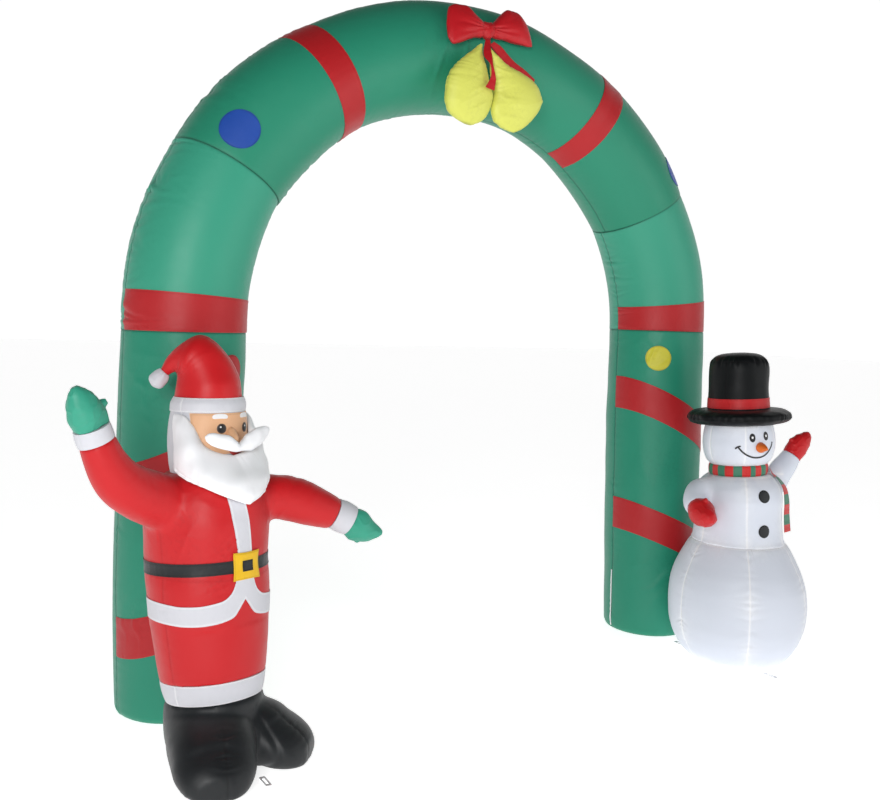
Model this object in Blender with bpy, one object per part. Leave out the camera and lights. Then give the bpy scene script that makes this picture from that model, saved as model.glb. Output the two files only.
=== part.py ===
"""Inflatable Christmas arch with a Father Christmas at its left leg and a snowman at its right leg.

Units are metres, +Z is up. The arch is modelled in the XZ plane with its middle at X = 0, its front facing -Y.
Each figure is modelled in its own frame, front facing its own -Y, and is then placed by an empty.
At the end the whole set moves so that the middle of its footprint is at the origin.
Every sewn panel, stuffed piece and air-filled length is a closed body, about 0.3 mm clear of the next.
"""

from math import cos, pi, radians, sin, tan

import bmesh
import bpy
from mathutils import Matrix, Vector

# From the middle of the arch to the middle of the whole footprint, figures and all
FOOTPRINT_SHIFT = Vector((0.0566, 0.2635, 0.0))

# Cloth and seams
GAP = 0.0003
CLOTH = 0.0012
SEAM_PINCH = 0.006
CLEAR = 0.0030

# Arch tube
ARCH_HEIGHT = 2.41
TUBE_RADIUS = 0.1925
FULLNESS = 0.007
LEG_SPACING = 2.010
SPRING_HEIGHT = 1.249
HALF_SPAN = LEG_SPACING / 2
RISE = ARCH_HEIGHT - TUBE_RADIUS - FULLNESS - SPRING_HEIGHT
TUBE_SIDES = 24
CROSS_SEAM = {-1: 28.4, 1: 30.0}
CROWN_BAND = 57.5
FOOT_ROWS = (
    # height, radius
    (0.000, 0.1620), (0.006, 0.1730), (0.022, 0.1800), (0.060, 0.1830), (0.110, 0.1850), (0.300, 0.1895),
    (0.550, 0.1925), (0.800, 0.1940),
)
LEG_SEAM = {-1: 1.190, 1: 1.237}

# Red bands and round patches of the arch
BAND_WIDTH = 0.115
CROWN_BAND_WIDTH = 0.101
CROWN_BAND_SPREAD = radians(1.7)
SEAM_TWIST = 0.0956
BAND_FOOT_GAP = 0.0012
DOT_SIDES = 14

# Bow, ribbons and bells at the middle of the crown
BOW_CENTRE = Vector((0.0, -0.218, 2.260))
BOW_TILT = radians(16)
BELL_PLANE = -0.252
RIBBON_THICK = 0.0015

# Father Christmas: place, turn and how far he leans back at his shins and at his head
SANTA_AT = Vector((-1.0082, -0.418, 0.0))
SANTA_TURN = radians(18)
SANTA_LEAN_LOW = radians(8.0)
SANTA_LEAN_HIGH = radians(1.5)
SANTA_ANKLE = 0.1763
SANTA_BROW = 0.95
FIGURE_SIDES = 24

# Snowman: place, turn and the lean of his upper half
SNOWMAN_AT = Vector((1.027, -0.461, 0.0))
SNOWMAN_TURN = radians(-12.5)
SNOWMAN_WAIST = 0.4480
SNOWMAN_SIDE_LEAN = radians(3.0)
SNOWMAN_BACK_LEAN = radians(1.5)

# Tie loops, flat on the floor
TIE_LONG = 0.058
TIE_WIDE = 0.017
TIE_SLOT_LONG = 0.036
TIE_SLOT_WIDE = 0.008
TIE_THICK = 0.003

COLOURS = {
    "green_cloth": ((0.022, 0.250, 0.130), 0.55),
    "red_cloth": ((0.400, 0.012, 0.018), 0.55),
    "bright_red_cloth": ((0.620, 0.010, 0.012), 0.50),
    "white_cloth": ((0.800, 0.820, 0.850), 0.55),
    "black_cloth": ((0.010, 0.011, 0.013), 0.50),
    "blue_cloth": ((0.020, 0.060, 0.380), 0.55),
    "yellow_cloth": ((0.620, 0.560, 0.040), 0.55),
    "bell_cloth": ((0.700, 0.720, 0.140), 0.55),
    "gold_cloth": ((0.800, 0.480, 0.010), 0.50),
    "skin_cloth": ((0.800, 0.440, 0.240), 0.55),
    "orange_cloth": ((0.800, 0.150, 0.020), 0.55),
    "mitten_green_cloth": ((0.030, 0.330, 0.180), 0.50),
}


# ---------------------------------------------------------------- scene and objects

def clear_scene():
    for item in list(bpy.data.objects):
        bpy.data.objects.remove(item, do_unlink=True)


def finish(name):
    """The cloth of one colour, made once."""
    known = bpy.data.materials.get(name)
    if known:
        return known
    colour, roughness = COLOURS[name]
    made = bpy.data.materials.new(name)
    made.use_nodes = True
    shader = made.node_tree.nodes["Principled BSDF"]
    shader.inputs["Base Color"].default_value = (*colour, 1.0)
    shader.inputs["Roughness"].default_value = roughness
    shader.inputs["Metallic"].default_value = 0.0
    return made


def place(name, shape, cloth, holder=None):
    """Turns a bmesh into a named object, under the empty that holds its figure."""
    mesh = bpy.data.meshes.new(name)
    shape.to_mesh(mesh)
    mesh.materials.append(finish(cloth))
    mesh.shade_smooth()
    mesh.set_sharp_from_angle(angle=radians(40))
    item = bpy.data.objects.new(name, mesh)
    bpy.context.scene.collection.objects.link(item)
    if holder:
        item.parent = holder
    return item


def holder(name, at, turn):
    """An empty that carries one figure."""
    item = bpy.data.objects.new(name, None)
    bpy.context.scene.collection.objects.link(item)
    item.location = at
    item.rotation_euler = (0, 0, turn)
    return item


def shape_by(item, tool_name, tool_shape, operation):
    """Joins a hidden guide shape to an object, or cuts it away from it."""
    tool = place(tool_name, tool_shape, "white_cloth", item.parent)
    tool.hide_render = True
    tool.display_type = "WIRE"
    step = item.modifiers.new(tool_name, "BOOLEAN")
    step.operation = operation
    step.solver = "EXACT"
    step.object = tool


# ---------------------------------------------------------------- closed bodies

def loft(rings):
    """A closed body through rings of points, with a flat cap on the first and on the last."""
    body = bmesh.new()
    loops = [[body.verts.new(point) for point in ring] for ring in rings]
    count = len(rings[0])
    for lower, upper in zip(loops, loops[1:]):
        for i in range(count):
            j = (i + 1) % count
            body.faces.new((lower[i], lower[j], upper[j], upper[i]))
    body.faces.new(list(reversed(loops[0])))
    body.faces.new(loops[-1])
    bmesh.ops.recalc_face_normals(body, faces=body.faces)
    return body


def oval(centre, across, along, half_across, half_along, sides):
    """Points round an ellipse with the two given axes."""
    return [
        centre + across * (half_across * cos(2 * pi * i / sides)) + along * (half_along * sin(2 * pi * i / sides))
        for i in range(sides)
    ]


def stack(frame_at, rows, sides=FIGURE_SIDES):
    """A figure's filled length: one round ring for each row of height and radius."""
    rings = []
    for height, radius in rows:
        frame = frame_at(height)
        rings.append([frame @ point for point in oval(Vector(), Vector((1, 0, 0)), Vector((0, 1, 0)),
                                                      radius, radius, sides)])
    return loft(rings)


def limb(parts, side_hint, sides=12):
    """Filled tubes one after the other along one path, a gap apart, one closed body for each part.

    A row is a point, its half width along the hint and its other half width. Each part starts at the point
    where the part before it ends.
    """
    path = [Vector(row[0]) for row in parts[0]]
    for part in parts[1:]:
        path += [Vector(row[0]) for row in part[1:]]
    bodies, start = [], 0
    for part in parts:
        rings = []
        for i, (_, wide, deep) in enumerate(part):
            at = start + i
            ahead = (path[min(at + 1, len(path) - 1)] - path[max(at - 1, 0)]).normalized()
            side = (side_hint - ahead * side_hint.dot(ahead)).normalized()
            shift = 0.0
            if i == 0 and at > 0:
                shift = GAP / 2
            if i == len(part) - 1 and at < len(path) - 1:
                shift = -GAP / 2
            rings.append(oval(path[at] + ahead * shift, side, ahead.cross(side), wide, deep, sides))
        bodies.append(loft(rings))
        start += len(part) - 1
    return bodies


def sweep(rows, side_hint, sides=12):
    """One filled tube along a path, with the rows of a limb."""
    return limb([rows], side_hint, sides)[0]


def strip(rows, thick):
    """A flat ribbon. Each row is a middle point, the way across, the half width and the way the face looks."""
    rings = []
    for middle, across, half_wide, face in rows:
        middle, across, face = Vector(middle), Vector(across).normalized(), Vector(face).normalized()
        rings.append([middle + across * (half_wide * s) + face * (thick / 2 * t)
                      for s, t in ((-1, -1), (1, -1), (1, 1), (-1, 1))])
    return loft(rings)


def wrapped(inner, outer, closed):
    """A piece that lies round a figure, from its inner and its outer points, column by column."""
    body = bmesh.new()
    inner = [[body.verts.new(point) for point in column] for column in inner]
    outer = [[body.verts.new(point) for point in column] for column in outer]
    count, steps = len(inner), len(inner[0])
    for j in range(count if closed else count - 1):
        k = (j + 1) % count
        for i in range(steps - 1):
            body.faces.new((outer[j][i], outer[j][i + 1], outer[k][i + 1], outer[k][i]))
            body.faces.new((inner[j][i], inner[k][i], inner[k][i + 1], inner[j][i + 1]))
        for i in (0, steps - 1):
            body.faces.new((inner[j][i], inner[k][i], outer[k][i], outer[j][i]))
    if not closed:
        for j in (0, count - 1):
            for i in range(steps - 1):
                body.faces.new((inner[j][i], inner[j][i + 1], outer[j][i + 1], outer[j][i]))
    bmesh.ops.recalc_face_normals(body, faces=body.faces)
    return body


def grown(shape, distance):
    """A copy of a body with every face moved out by the same distance."""
    copy = shape.copy()
    copy.normal_update()
    moves = [(v, v.normal * (v.calc_shell_factor() * distance)) for v in copy.verts]
    for vertex, move in moves:
        vertex.co += move
    return copy


# ---------------------------------------------------------------- sewn panels

def panel(carrier, cuts, thick=CLOTH, lift=GAP):
    """A panel sewn on a body: the part of its surface that all the cuts leave, lifted and given a thickness.

    Each cut is a point and a normal, and the side that the normal looks at goes.
    """
    patch = carrier.copy()
    for point, normal in cuts:
        everything = patch.verts[:] + patch.edges[:] + patch.faces[:]
        bmesh.ops.bisect_plane(patch, geom=everything, plane_co=point, plane_no=normal, clear_outer=True)
    bmesh.ops.remove_doubles(patch, verts=patch.verts, dist=0.00005)
    patch.normal_update()

    made = bmesh.new()
    inner, outer = {}, {}
    for vertex in patch.verts:
        out = vertex.normal * vertex.calc_shell_factor()
        inner[vertex] = made.verts.new(vertex.co + out * lift)
        outer[vertex] = made.verts.new(vertex.co + out * (lift + thick))
    for face in patch.faces:
        made.faces.new([outer[v] for v in face.verts])
        made.faces.new([inner[v] for v in reversed(face.verts)])
    for edge in patch.edges:
        if len(edge.link_faces) == 1:
            first, second = edge.verts
            made.faces.new((inner[first], inner[second], outer[second], outer[first]))
    bmesh.ops.recalc_face_normals(made, faces=made.faces)
    patch.free()
    return made


def slab(centre, way, half):
    """The two cuts that keep what lies within half a width of a point, along the given way."""
    way = way.normalized()
    return [(centre + way * half, way), (centre - way * half, -way)]


def disc(centre, out, radius, sides=DOT_SIDES):
    """The cuts that keep a round patch about a point of a surface."""
    out = out.normalized()
    first = out.orthogonal().normalized()
    second = out.cross(first)
    cuts = [(centre - out * radius, -out)]
    for i in range(sides):
        way = first * cos(2 * pi * i / sides) + second * sin(2 * pi * i / sides)
        cuts.append((centre + way * radius, way))
    return cuts


# ---------------------------------------------------------------- arch

def arch_frame(side, turn):
    """The tube's middle and the way out, at a turn in degrees from the spring of one side up to the crown."""
    angle = radians(turn)
    middle = Vector((side * HALF_SPAN * cos(angle), 0, SPRING_HEIGHT + RISE * sin(angle)))
    out = Vector((side * RISE * cos(angle), 0, HALF_SPAN * sin(angle))).normalized()
    return middle, out


def fullness(side, turn):
    """How much wider the tube is than at its seams: it fills out between two of them."""
    panels = ((0.0, CROSS_SEAM[side]), (CROSS_SEAM[side], CROWN_BAND), (CROWN_BAND, 180 - CROWN_BAND))
    low, high = next(span for span in panels if turn <= span[1])
    return FULLNESS * sin(pi * (turn - low) / (high - low))


def tube_ring(middle, out, radius=TUBE_RADIUS):
    return oval(middle, Vector((0, -1, 0)), out, radius, radius, TUBE_SIDES)


def leg_middle(side, height):
    return Vector((side * HALF_SPAN, 0, height))


def leg(side):
    """A straight leg, rounded in to a flat foot and drawn in at the seam on top."""
    out = Vector((side, 0, 0))
    rings = [tube_ring(leg_middle(side, height), out, radius) for height, radius in FOOT_ROWS]
    top = LEG_SEAM[side] - GAP
    rings.append(tube_ring(leg_middle(side, top - 0.012), out, TUBE_RADIUS + 0.001))
    rings.append(tube_ring(leg_middle(side, top), out, TUBE_RADIUS - SEAM_PINCH))
    return loft(rings)


def haunch(side):
    """The first curved length, from the seam on the leg to the cross seam."""
    out = Vector((side, 0, 0))
    seam = LEG_SEAM[side]
    rings = [tube_ring(leg_middle(side, seam), out, TUBE_RADIUS - SEAM_PINCH),
             tube_ring(leg_middle(side, seam + 0.012), out, TUBE_RADIUS - 0.001)]
    for turn in (0.8, 6.0, 12.0, 18.0, 24.0, CROSS_SEAM[side] - 1.5):
        rings.append(tube_ring(*arch_frame(side, turn), TUBE_RADIUS + fullness(side, turn) / 2))
    rings.append(tube_ring(*arch_frame(side, CROSS_SEAM[side] - 0.009), TUBE_RADIUS - SEAM_PINCH))
    return loft(rings)


def crown():
    """The top length between the two cross seams, a little drawn in at its bands."""
    rings = []
    for side in (-1, 1):
        seam = CROSS_SEAM[side]
        half = [tube_ring(*arch_frame(side, seam + 0.009), TUBE_RADIUS - SEAM_PINCH)]
        for turn in (seam + 1.5, 36, 42, 48, 53, CROWN_BAND, 62, 68, 74, 80, 86):
            half.append(tube_ring(*arch_frame(side, turn), TUBE_RADIUS + fullness(side, turn)))
        if side > 0:
            half.reverse()
        rings += half
    return loft(rings)


def leg_seams(side):
    """The cut along the two side seams of a leg, where its bands end. The seams are turned a little inward."""
    return [(leg_middle(side, 0), Vector((side * SEAM_TWIST, 1, 0)))]


def leg_band(carrier, side, height, slope):
    """A slanting band on a leg: its height at the middle of the front, and how it falls to the outer side."""
    way = Vector((side * slope, 0, 1))
    return panel(carrier, slab(leg_middle(side, height), way, BAND_WIDTH / 2) + leg_seams(side))


def crown_band(carrier, side, turn):
    """A band across the crown, a little wider at the outer side of the curve."""
    middle, out = arch_frame(side, turn)
    along = out.cross(Vector((0, 1, 0)))
    cuts = [(Vector((0, -0.010, 0)), Vector((0, 1, 0)))]
    for way in (along, -along):
        normal = way * cos(CROWN_BAND_SPREAD) - out * sin(CROWN_BAND_SPREAD)
        cuts.append((middle + way * (CROWN_BAND_WIDTH / 2), normal))
    return panel(carrier, cuts)


def spring_band(carrier, side):
    low = LEG_SEAM[side] + BAND_FOOT_GAP
    cuts = slab(leg_middle(side, low + BAND_WIDTH / 2), Vector((0, 0, 1)), BAND_WIDTH / 2)
    return panel(carrier, cuts + leg_seams(side))


def dot(carrier, middle, out, lean, radius):
    """A round patch, set round the tube from its front by the lean in degrees towards the outer side."""
    face = Vector((0, -1, 0)) * cos(radians(lean)) + out * sin(radians(lean))
    return panel(carrier, disc(middle + face * TUBE_RADIUS, face, radius))


def zip_strip(carrier, side):
    """The narrow strip at the foot of the leg's inner side seam."""
    half_wide, low, high = 0.003, 0.012, 0.245
    cuts = slab(leg_middle(side, 0) + Vector((0, 0.003, 0)), Vector((side * SEAM_TWIST, 1, 0)), half_wide)
    cuts += slab(Vector((0, 0, (low + high) / 2)), Vector((0, 0, 1)), (high - low) / 2)
    cuts.append((leg_middle(side, 0), Vector((side, 0, 0))))
    return panel(carrier, cuts)


def make_arch():
    legs = {side: leg(side) for side in (-1, 1)}
    haunches = {side: haunch(side) for side in (-1, 1)}
    top = crown()
    names = {-1: "left", 1: "right"}
    for side in (-1, 1):
        place("leg_" + names[side], legs[side], "green_cloth")
        place("haunch_" + names[side], haunches[side], "green_cloth")
        place("band_spring_" + names[side], spring_band(haunches[side], side), "red_cloth")
    place("crown", top, "green_cloth")

    # side, name, height at the middle of the front, fall to the outer side
    for side, name, height, slope in (
        (-1, "band_leg_left_upper", 0.813, 0.52),
        (-1, "band_leg_left_lower", 0.321, 0.40),
        (1, "band_leg_right_upper", 0.879, 0.53),
        (1, "band_leg_right_lower", 0.399, 0.455),
    ):
        place(name, leg_band(legs[side], side, height, slope), "red_cloth")
    place("band_crown_left", crown_band(top, -1, 55.4), "red_cloth")
    place("band_crown_right", crown_band(top, 1, CROWN_BAND), "red_cloth")

    place("dot_blue_left", dot(top, *arch_frame(-1, 33.4), 23.9, 0.064), "blue_cloth")
    place("dot_blue_right", dot(top, *arch_frame(1, 35.2), 46.0, 0.064), "blue_cloth")
    place("dot_yellow", dot(legs[1], leg_middle(1, 1.127), Vector((1, 0, 0)), -39.5, 0.050), "yellow_cloth")
    place("dot_red", dot(legs[-1], leg_middle(-1, 1.073), Vector((-1, 0, 0)), -32.0, 0.050), "red_cloth")
    place("zip_strip", zip_strip(legs[1], 1), "white_cloth")


# ---------------------------------------------------------------- bow, ribbons and bells

# across from the knot, lowest point, highest point, half thickness
BOW_ROWS = (
    (-0.197, -0.047, 0.010, 0.004),
    (-0.181, -0.066, 0.074, 0.016),
    (-0.150, -0.056, 0.090, 0.024),
    (-0.113, -0.040, 0.090, 0.027),
    (-0.075, -0.026, 0.058, 0.024),
    (-0.048, -0.022, 0.042, 0.020),
    (-0.030, -0.021, 0.040, 0.023),
    (-0.008, -0.014, 0.046, 0.020),
    (0.030, -0.014, 0.080, 0.024),
    (0.070, -0.017, 0.110, 0.027),
    (0.105, -0.020, 0.108, 0.025),
    (0.138, -0.022, 0.076, 0.017),
    (0.156, -0.018, 0.012, 0.004),
)

# share of the length from the tip, width on the outer side, width on the inner side, half thickness
BELL_ROWS = {
    "left": (
        (0.00, 0.006, 0.006, 0.004), (0.10, 0.028, 0.009, 0.014), (0.25, 0.066, 0.031, 0.028),
        (0.42, 0.096, 0.054, 0.037), (0.60, 0.107, 0.077, 0.041), (0.76, 0.105, 0.070, 0.039),
        (0.90, 0.088, 0.052, 0.029), (0.97, 0.054, 0.027, 0.018), (1.00, 0.022, 0.012, 0.008),
    ),
    "right": (
        (0.00, 0.005, 0.005, 0.004), (0.10, 0.020, 0.006, 0.013), (0.25, 0.050, 0.018, 0.024),
        (0.36, 0.088, 0.028, 0.032), (0.50, 0.131, 0.042, 0.038), (0.64, 0.149, 0.069, 0.041),
        (0.77, 0.146, 0.075, 0.039), (0.90, 0.107, 0.052, 0.028), (0.97, 0.062, 0.026, 0.016),
        (1.00, 0.024, 0.012, 0.008),
    ),
}


def bow_frame():
    return Matrix.Translation(BOW_CENTRE) @ Matrix.Rotation(-BOW_TILT, 4, "X")


def bow():
    """Both loops and the knot, as one stuffed piece."""
    frame = bow_frame()
    rings = []
    for across, low, high, half_thick in BOW_ROWS:
        middle = Vector((across, 0, (low + high) / 2))
        ring = oval(middle, Vector((0, -1, 0)), Vector((0, 0, 1)), half_thick, (high - low) / 2, 14)
        rings.append([frame @ point for point in ring])
    return loft(rings)


def bell(tip, foot, rows):
    """A flat stuffed bell from its tip to its foot, both given as X and Z. Its rings lie square to that line."""
    tip = Vector((tip[0], BELL_PLANE, tip[1]))
    foot = Vector((foot[0], BELL_PLANE, foot[1]))
    front = Vector((0, -1, 0))
    outer = front.cross(foot - tip).normalized()
    if outer.x * foot.x < 0:
        outer = -outer
    rings = []
    for share, out, back, thick in rows:
        middle = tip.lerp(foot, share) + outer * ((out - back) / 2)
        rings.append(oval(middle, outer, front, (out + back) / 2, thick, 18))
    return loft(rings)


def make_bow():
    place("bow", bow(), "red_cloth")
    left = bell((-0.076, 2.208), (-0.121, 1.925), BELL_ROWS["left"])
    right = bell((-0.047, 2.197), (0.080, 1.925), BELL_ROWS["right"])
    place("bell_left", left, "bell_cloth")
    shape_by(place("bell_right", right, "bell_cloth"), "bell_clearance", grown(left, GAP * 2), "DIFFERENCE")

    # middle of the ribbon, way across, half width, way the face looks
    front = (
        ((-0.047, -0.2465, 2.2300), (1, 0, 0.1), 0.010, (0, -1, 0.2)),
        ((-0.068, -0.2830, 2.1640), (1, 0, 0.3), 0.017, (0, -1, 0.3)),
        ((-0.060, -0.2980, 2.1270), (1, 0, -0.1), 0.006, (0.2, -1, 0.2)),
        ((-0.055, -0.3010, 2.0850), (1, 0, -0.2), 0.011, (0, -1, 0.1)),
        ((-0.069, -0.3030, 2.0450), (1, 0, -0.2), 0.019, (0, -1, 0)),
    )
    back = (
        ((-0.004, -0.2070, 2.2330), (0.8, 0, 0.6), 0.012, (0, -1, 0.0)),
        ((0.027, -0.2065, 2.2140), (0.7, 0, 0.7), 0.017, (0, -1, 0.0)),
        ((0.056, -0.2060, 2.1900), (0.6, 0, 0.8), 0.0175, (0, -1, 0.0)),
        ((0.090, -0.2055, 2.1680), (0.5, 0, 0.8), 0.0165, (0, -1, -0.1)),
        ((0.135, -0.2045, 2.1490), (0.4, 0, 0.9), 0.015, (0, -1, -0.2)),
        ((0.187, -0.1990, 2.1240), (0.4, 0, 0.9), 0.013, (0, -1, -0.2)),
    )
    place("ribbon_left", strip(front, RIBBON_THICK), "red_cloth")
    place("ribbon_right", strip(back, RIBBON_THICK), "red_cloth")


# ---------------------------------------------------------------- Father Christmas

# height, radius
TRIM_ROWS = ((0.1766, 0.1370), (0.2050, 0.1430), (0.2325, 0.1464))
TROUSER_ROWS = ((0.2328, 0.1464), (0.2800, 0.1530), (0.3300, 0.1590), (0.3800, 0.1636))
COAT_ROWS = (
    (0.3803, 0.1636), (0.4300, 0.1680), (0.4850, 0.1710), (0.5475, 0.1715), (0.6000, 0.1740),
    (0.6600, 0.1760), (0.7100, 0.1720), (0.7500, 0.1590), (0.7820, 0.1370), (0.8000, 0.1120),
)
HEAD_ROWS = ((0.8003, 0.1020), (0.8300, 0.1090), (0.8700, 0.1120), (0.9200, 0.1100), (0.9720, 0.1050))
HAT_BAND_ROWS = ((0.9723, 0.1060), (0.9920, 0.1050), (1.0115, 0.0990))

# The hat's two edges, as a reach in the way it folds and a height above the band: outer, then inner
HAT_ROWS = (
    (-0.0950, 0.0003, 0.0950, 0.0003),
    (-0.0900, 0.0400, 0.0925, 0.0260),
    (-0.0740, 0.0800, 0.0900, 0.0450),
    (-0.0500, 0.1200, 0.0890, 0.0560),
    (-0.0160, 0.1560, 0.0895, 0.0630),
    (0.0300, 0.1745, 0.0915, 0.0670),
    (0.0730, 0.1560, 0.0940, 0.0690),
    (0.1030, 0.1280, 0.0985, 0.0680),
    (0.1230, 0.0980, 0.1055, 0.0640),
    (0.1330, 0.0760, 0.1130, 0.0590),
)
HAT_FOLD = radians(143.5)

# half the arc of each column in degrees, height of the top, height of the foot, most thickness
BEARD_ROWS = (
    (90, 0.966, 0.930, 0.002), (82, 0.966, 0.880, 0.007), (74, 0.964, 0.825, 0.024), (56, 0.936, 0.793, 0.048),
    (38, 0.880, 0.772, 0.050), (19, 0.860, 0.744, 0.050), (0, 0.851, 0.719, 0.050),
)

BELT_HEIGHT, BELT_HALF = 0.5475, 0.0175


def santa_level(height):
    """The frame of a level ring: he leans back from his boots, less and less towards his head."""
    share = (height - SANTA_ANKLE) / (SANTA_BROW - SANTA_ANKLE)
    lean = SANTA_LEAN_LOW + (SANTA_LEAN_HIGH - SANTA_LEAN_LOW) * share
    back = (height - SANTA_ANKLE) * tan((SANTA_LEAN_LOW + lean) / 2)
    sideways = -0.0095 * sin(pi * min(1, share / 1.3))
    return Matrix.Translation((sideways, back, height)) @ Matrix.Rotation(-lean, 4, "X")


def santa_radius(height):
    """His outline below the hat, filled out across the neck."""
    rows = COAT_ROWS[:-1] + ((0.8100, 0.1130),) + HEAD_ROWS[2:]
    for (low, first), (high, second) in zip(rows, rows[1:]):
        if height <= high:
            return first + (second - first) * (height - low) / (high - low)
    return rows[-1][1]


def on_santa(around, height, radius):
    """A point round his axis, from his front towards his left hand, in degrees."""
    angle = radians(around)
    return santa_level(height) @ Vector((radius * sin(angle), -radius * cos(angle), 0))


def boots():
    """The ankle part of the boots, which the two feet are joined to."""
    rings = [oval(Vector((0, 0, height)), Vector((1, 0, 0)), Vector((0, 1, 0)), radius, radius, FIGURE_SIDES)
             for height, radius in ((0.0, 0.112), (0.020, 0.126), (0.070, 0.135))]
    top = santa_level(SANTA_ANKLE)
    rings.append([top @ point for point in oval(Vector(), Vector((1, 0, 0)), Vector((0, 1, 0)),
                                                0.137, 0.137, FIGURE_SIDES)])
    return loft(rings)


# reach from under the ankle, half width, height
FOOT_SHAPE = (
    (-0.105, 0.040, 0.090), (-0.085, 0.078, 0.128), (-0.045, 0.106, 0.152), (0.020, 0.118, 0.170),
    (0.090, 0.120, 0.181), (0.160, 0.120, 0.178), (0.210, 0.115, 0.162), (0.252, 0.100, 0.136),
    (0.286, 0.076, 0.104), (0.308, 0.040, 0.068),
)


def foot(heel, toe_way, size):
    """One stuffed foot from the heel to the toe, flat where it stands and rounded in above the floor."""
    ahead = Vector((*toe_way, 0)).normalized()
    side = ahead.cross(Vector((0, 0, 1)))
    rings = []
    for reach, half_wide, height in FOOT_SHAPE:
        ring = []
        for i in range(16):
            angle = 2 * pi * (i + 0.5) / 16
            widest = 0.40 * height
            if sin(angle) > 0:
                up = widest + (height - widest) * sin(angle)
            else:
                up = widest * max(0.0, 1 + 1.5 * sin(angle))
            tuck = 1.0 if up > 0 else 0.90
            across = half_wide * size * tuck * cos(angle)
            ring.append(heel + ahead * (reach * size) + side * across + Vector((0, 0, up)))
        rings.append(ring)
    return loft(rings)


def beard():
    """The stuffed beard: a wrapped piece with a hollow back that clears the head and the coat."""
    columns = [(-arc, *rest) for arc, *rest in BEARD_ROWS] + [row for row in reversed(BEARD_ROWS[:-1])]
    steps = 7
    inner, outer = [], []
    for arc, top, low, most in columns:
        inner_line, outer_line = [], []
        for i in range(steps):
            share = i / (steps - 1)
            height = top + (low - top) * share
            rest = max(santa_radius(height), 0.1060) + CLEAR + 0.0025
            bulge = 0.0025 + most * max(0.0, sin(pi * (0.08 + 0.84 * share))) ** 0.7 * (0.66 + 0.34 * share)
            inner_line.append(on_santa(arc, height, rest))
            outer_line.append(on_santa(arc, height, rest + bulge))
        inner.append(inner_line)
        outer.append(outer_line)
    return wrapped(inner, outer, closed=False)


def hat_frame():
    return santa_level(HAT_BAND_ROWS[-1][0]) @ Matrix.Rotation(HAT_FOLD, 4, "Z")


def hat():
    """The pointed hat, folded over towards the raised arm and the back."""
    frame = hat_frame()
    rings = []
    for out_reach, out_height, in_reach, in_height in HAT_ROWS:
        outer, inner = Vector((out_reach, 0, out_height)), Vector((in_reach, 0, in_height))
        half = (inner - outer).length / 2
        ring = oval((outer + inner) / 2, (inner - outer).normalized(), Vector((0, 1, 0)), half, half, 20)
        rings.append([frame @ point for point in ring])
    return loft(rings)


def pompom():
    """The white stuffed end of the hat, from the hat's last ring on."""
    frame = hat_frame()
    out_reach, out_height, in_reach, in_height = HAT_ROWS[-1]
    outer, inner = Vector((out_reach, 0, out_height)), Vector((in_reach, 0, in_height))
    across = (inner - outer).normalized()
    on = across.cross(Vector((0, -1, 0)))
    if on.z > 0:
        on = -on
    rings = []
    for reach, radius in ((GAP, 0.0140), (0.011, 0.0205), (0.024, 0.0245), (0.038, 0.0225), (0.052, 0.0080)):
        ring = oval((outer + inner) / 2 + on * reach, across, Vector((0, 1, 0)), radius, radius, 12)
        rings.append([frame @ point for point in ring])
    return loft(rings)


def face(head):
    """The face panel between the hat band and the beard."""
    level = santa_level(0.914)
    cuts = slab(level @ Vector((0, 0, 0)), level.to_3x3() @ Vector((0, 0, 1)), 0.056)
    for side in (-1, 1):
        cuts.append((level @ Vector((side * 0.070, 0, -0.048)), level.to_3x3() @ Vector((side * 0.92, 0, -0.39))))
        cuts.append((level @ Vector((side * 0.100, 0, 0)), level.to_3x3() @ Vector((side, 0, 0))))
    cuts.append((level @ Vector((0, -0.02, 0)), level.to_3x3() @ Vector((0, 1, 0))))
    return panel(head, cuts, thick=0.002)


def nose():
    """The stuffed nose, which grows out of the face panel."""
    level = santa_level(0.916)
    rows = [(level @ Vector((-0.001, -reach, height)), wide, tall) for reach, height, wide, tall in (
        (0.1130, -0.010, 0.011, 0.012),
        (0.1220, -0.010, 0.014, 0.017),
        (0.1330, -0.012, 0.013, 0.015),
        (0.1400, -0.014, 0.007, 0.008),
    )]
    return sweep(rows, Vector((1, 0, 0)), 10)


def moustache():
    """Both wings of the moustache, thick in the middle of each and thin at the tips."""
    level = santa_level(0.89)
    rows = [(level @ Vector((across, -reach, height)), tall, deep) for across, reach, height, tall, deep in (
        (-0.092, 0.124, 0.018, 0.006, 0.005),
        (-0.066, 0.133, 0.009, 0.018, 0.010),
        (-0.034, 0.140, 0.001, 0.021, 0.013),
        (0.002, 0.142, -0.017, 0.009, 0.009),
        (0.046, 0.142, 0.002, 0.023, 0.013),
        (0.080, 0.138, 0.015, 0.024, 0.012),
        (0.105, 0.133, 0.024, 0.017, 0.008),
        (0.121, 0.130, 0.030, 0.007, 0.004),
    )]
    return sweep(rows, Vector((0, 0, 1)), 10)


# arc from the front in degrees, lower edge, upper edge
TRIM_EDGE = (
    (0.0, 0.4550, 0.5270), (3.75, 0.4400, 0.5270), (7.5, 0.4245, 0.5265), (11.25, 0.4120, 0.4920),
    (15.0, 0.4065, 0.4740), (22.5, 0.4010, 0.4590), (30.0, 0.3975, 0.4545), (45.0, 0.3950, 0.4500),
    (60.0, 0.3965, 0.4510), (75.0, 0.4010, 0.4560), (90.0, 0.4050, 0.4600), (105.0, 0.4080, 0.4620),
    (120.0, 0.4090, 0.4630), (135.0, 0.4090, 0.4630), (150.0, 0.4090, 0.4630), (165.0, 0.4090, 0.4630),
    (180.0, 0.4090, 0.4630),
)


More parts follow.
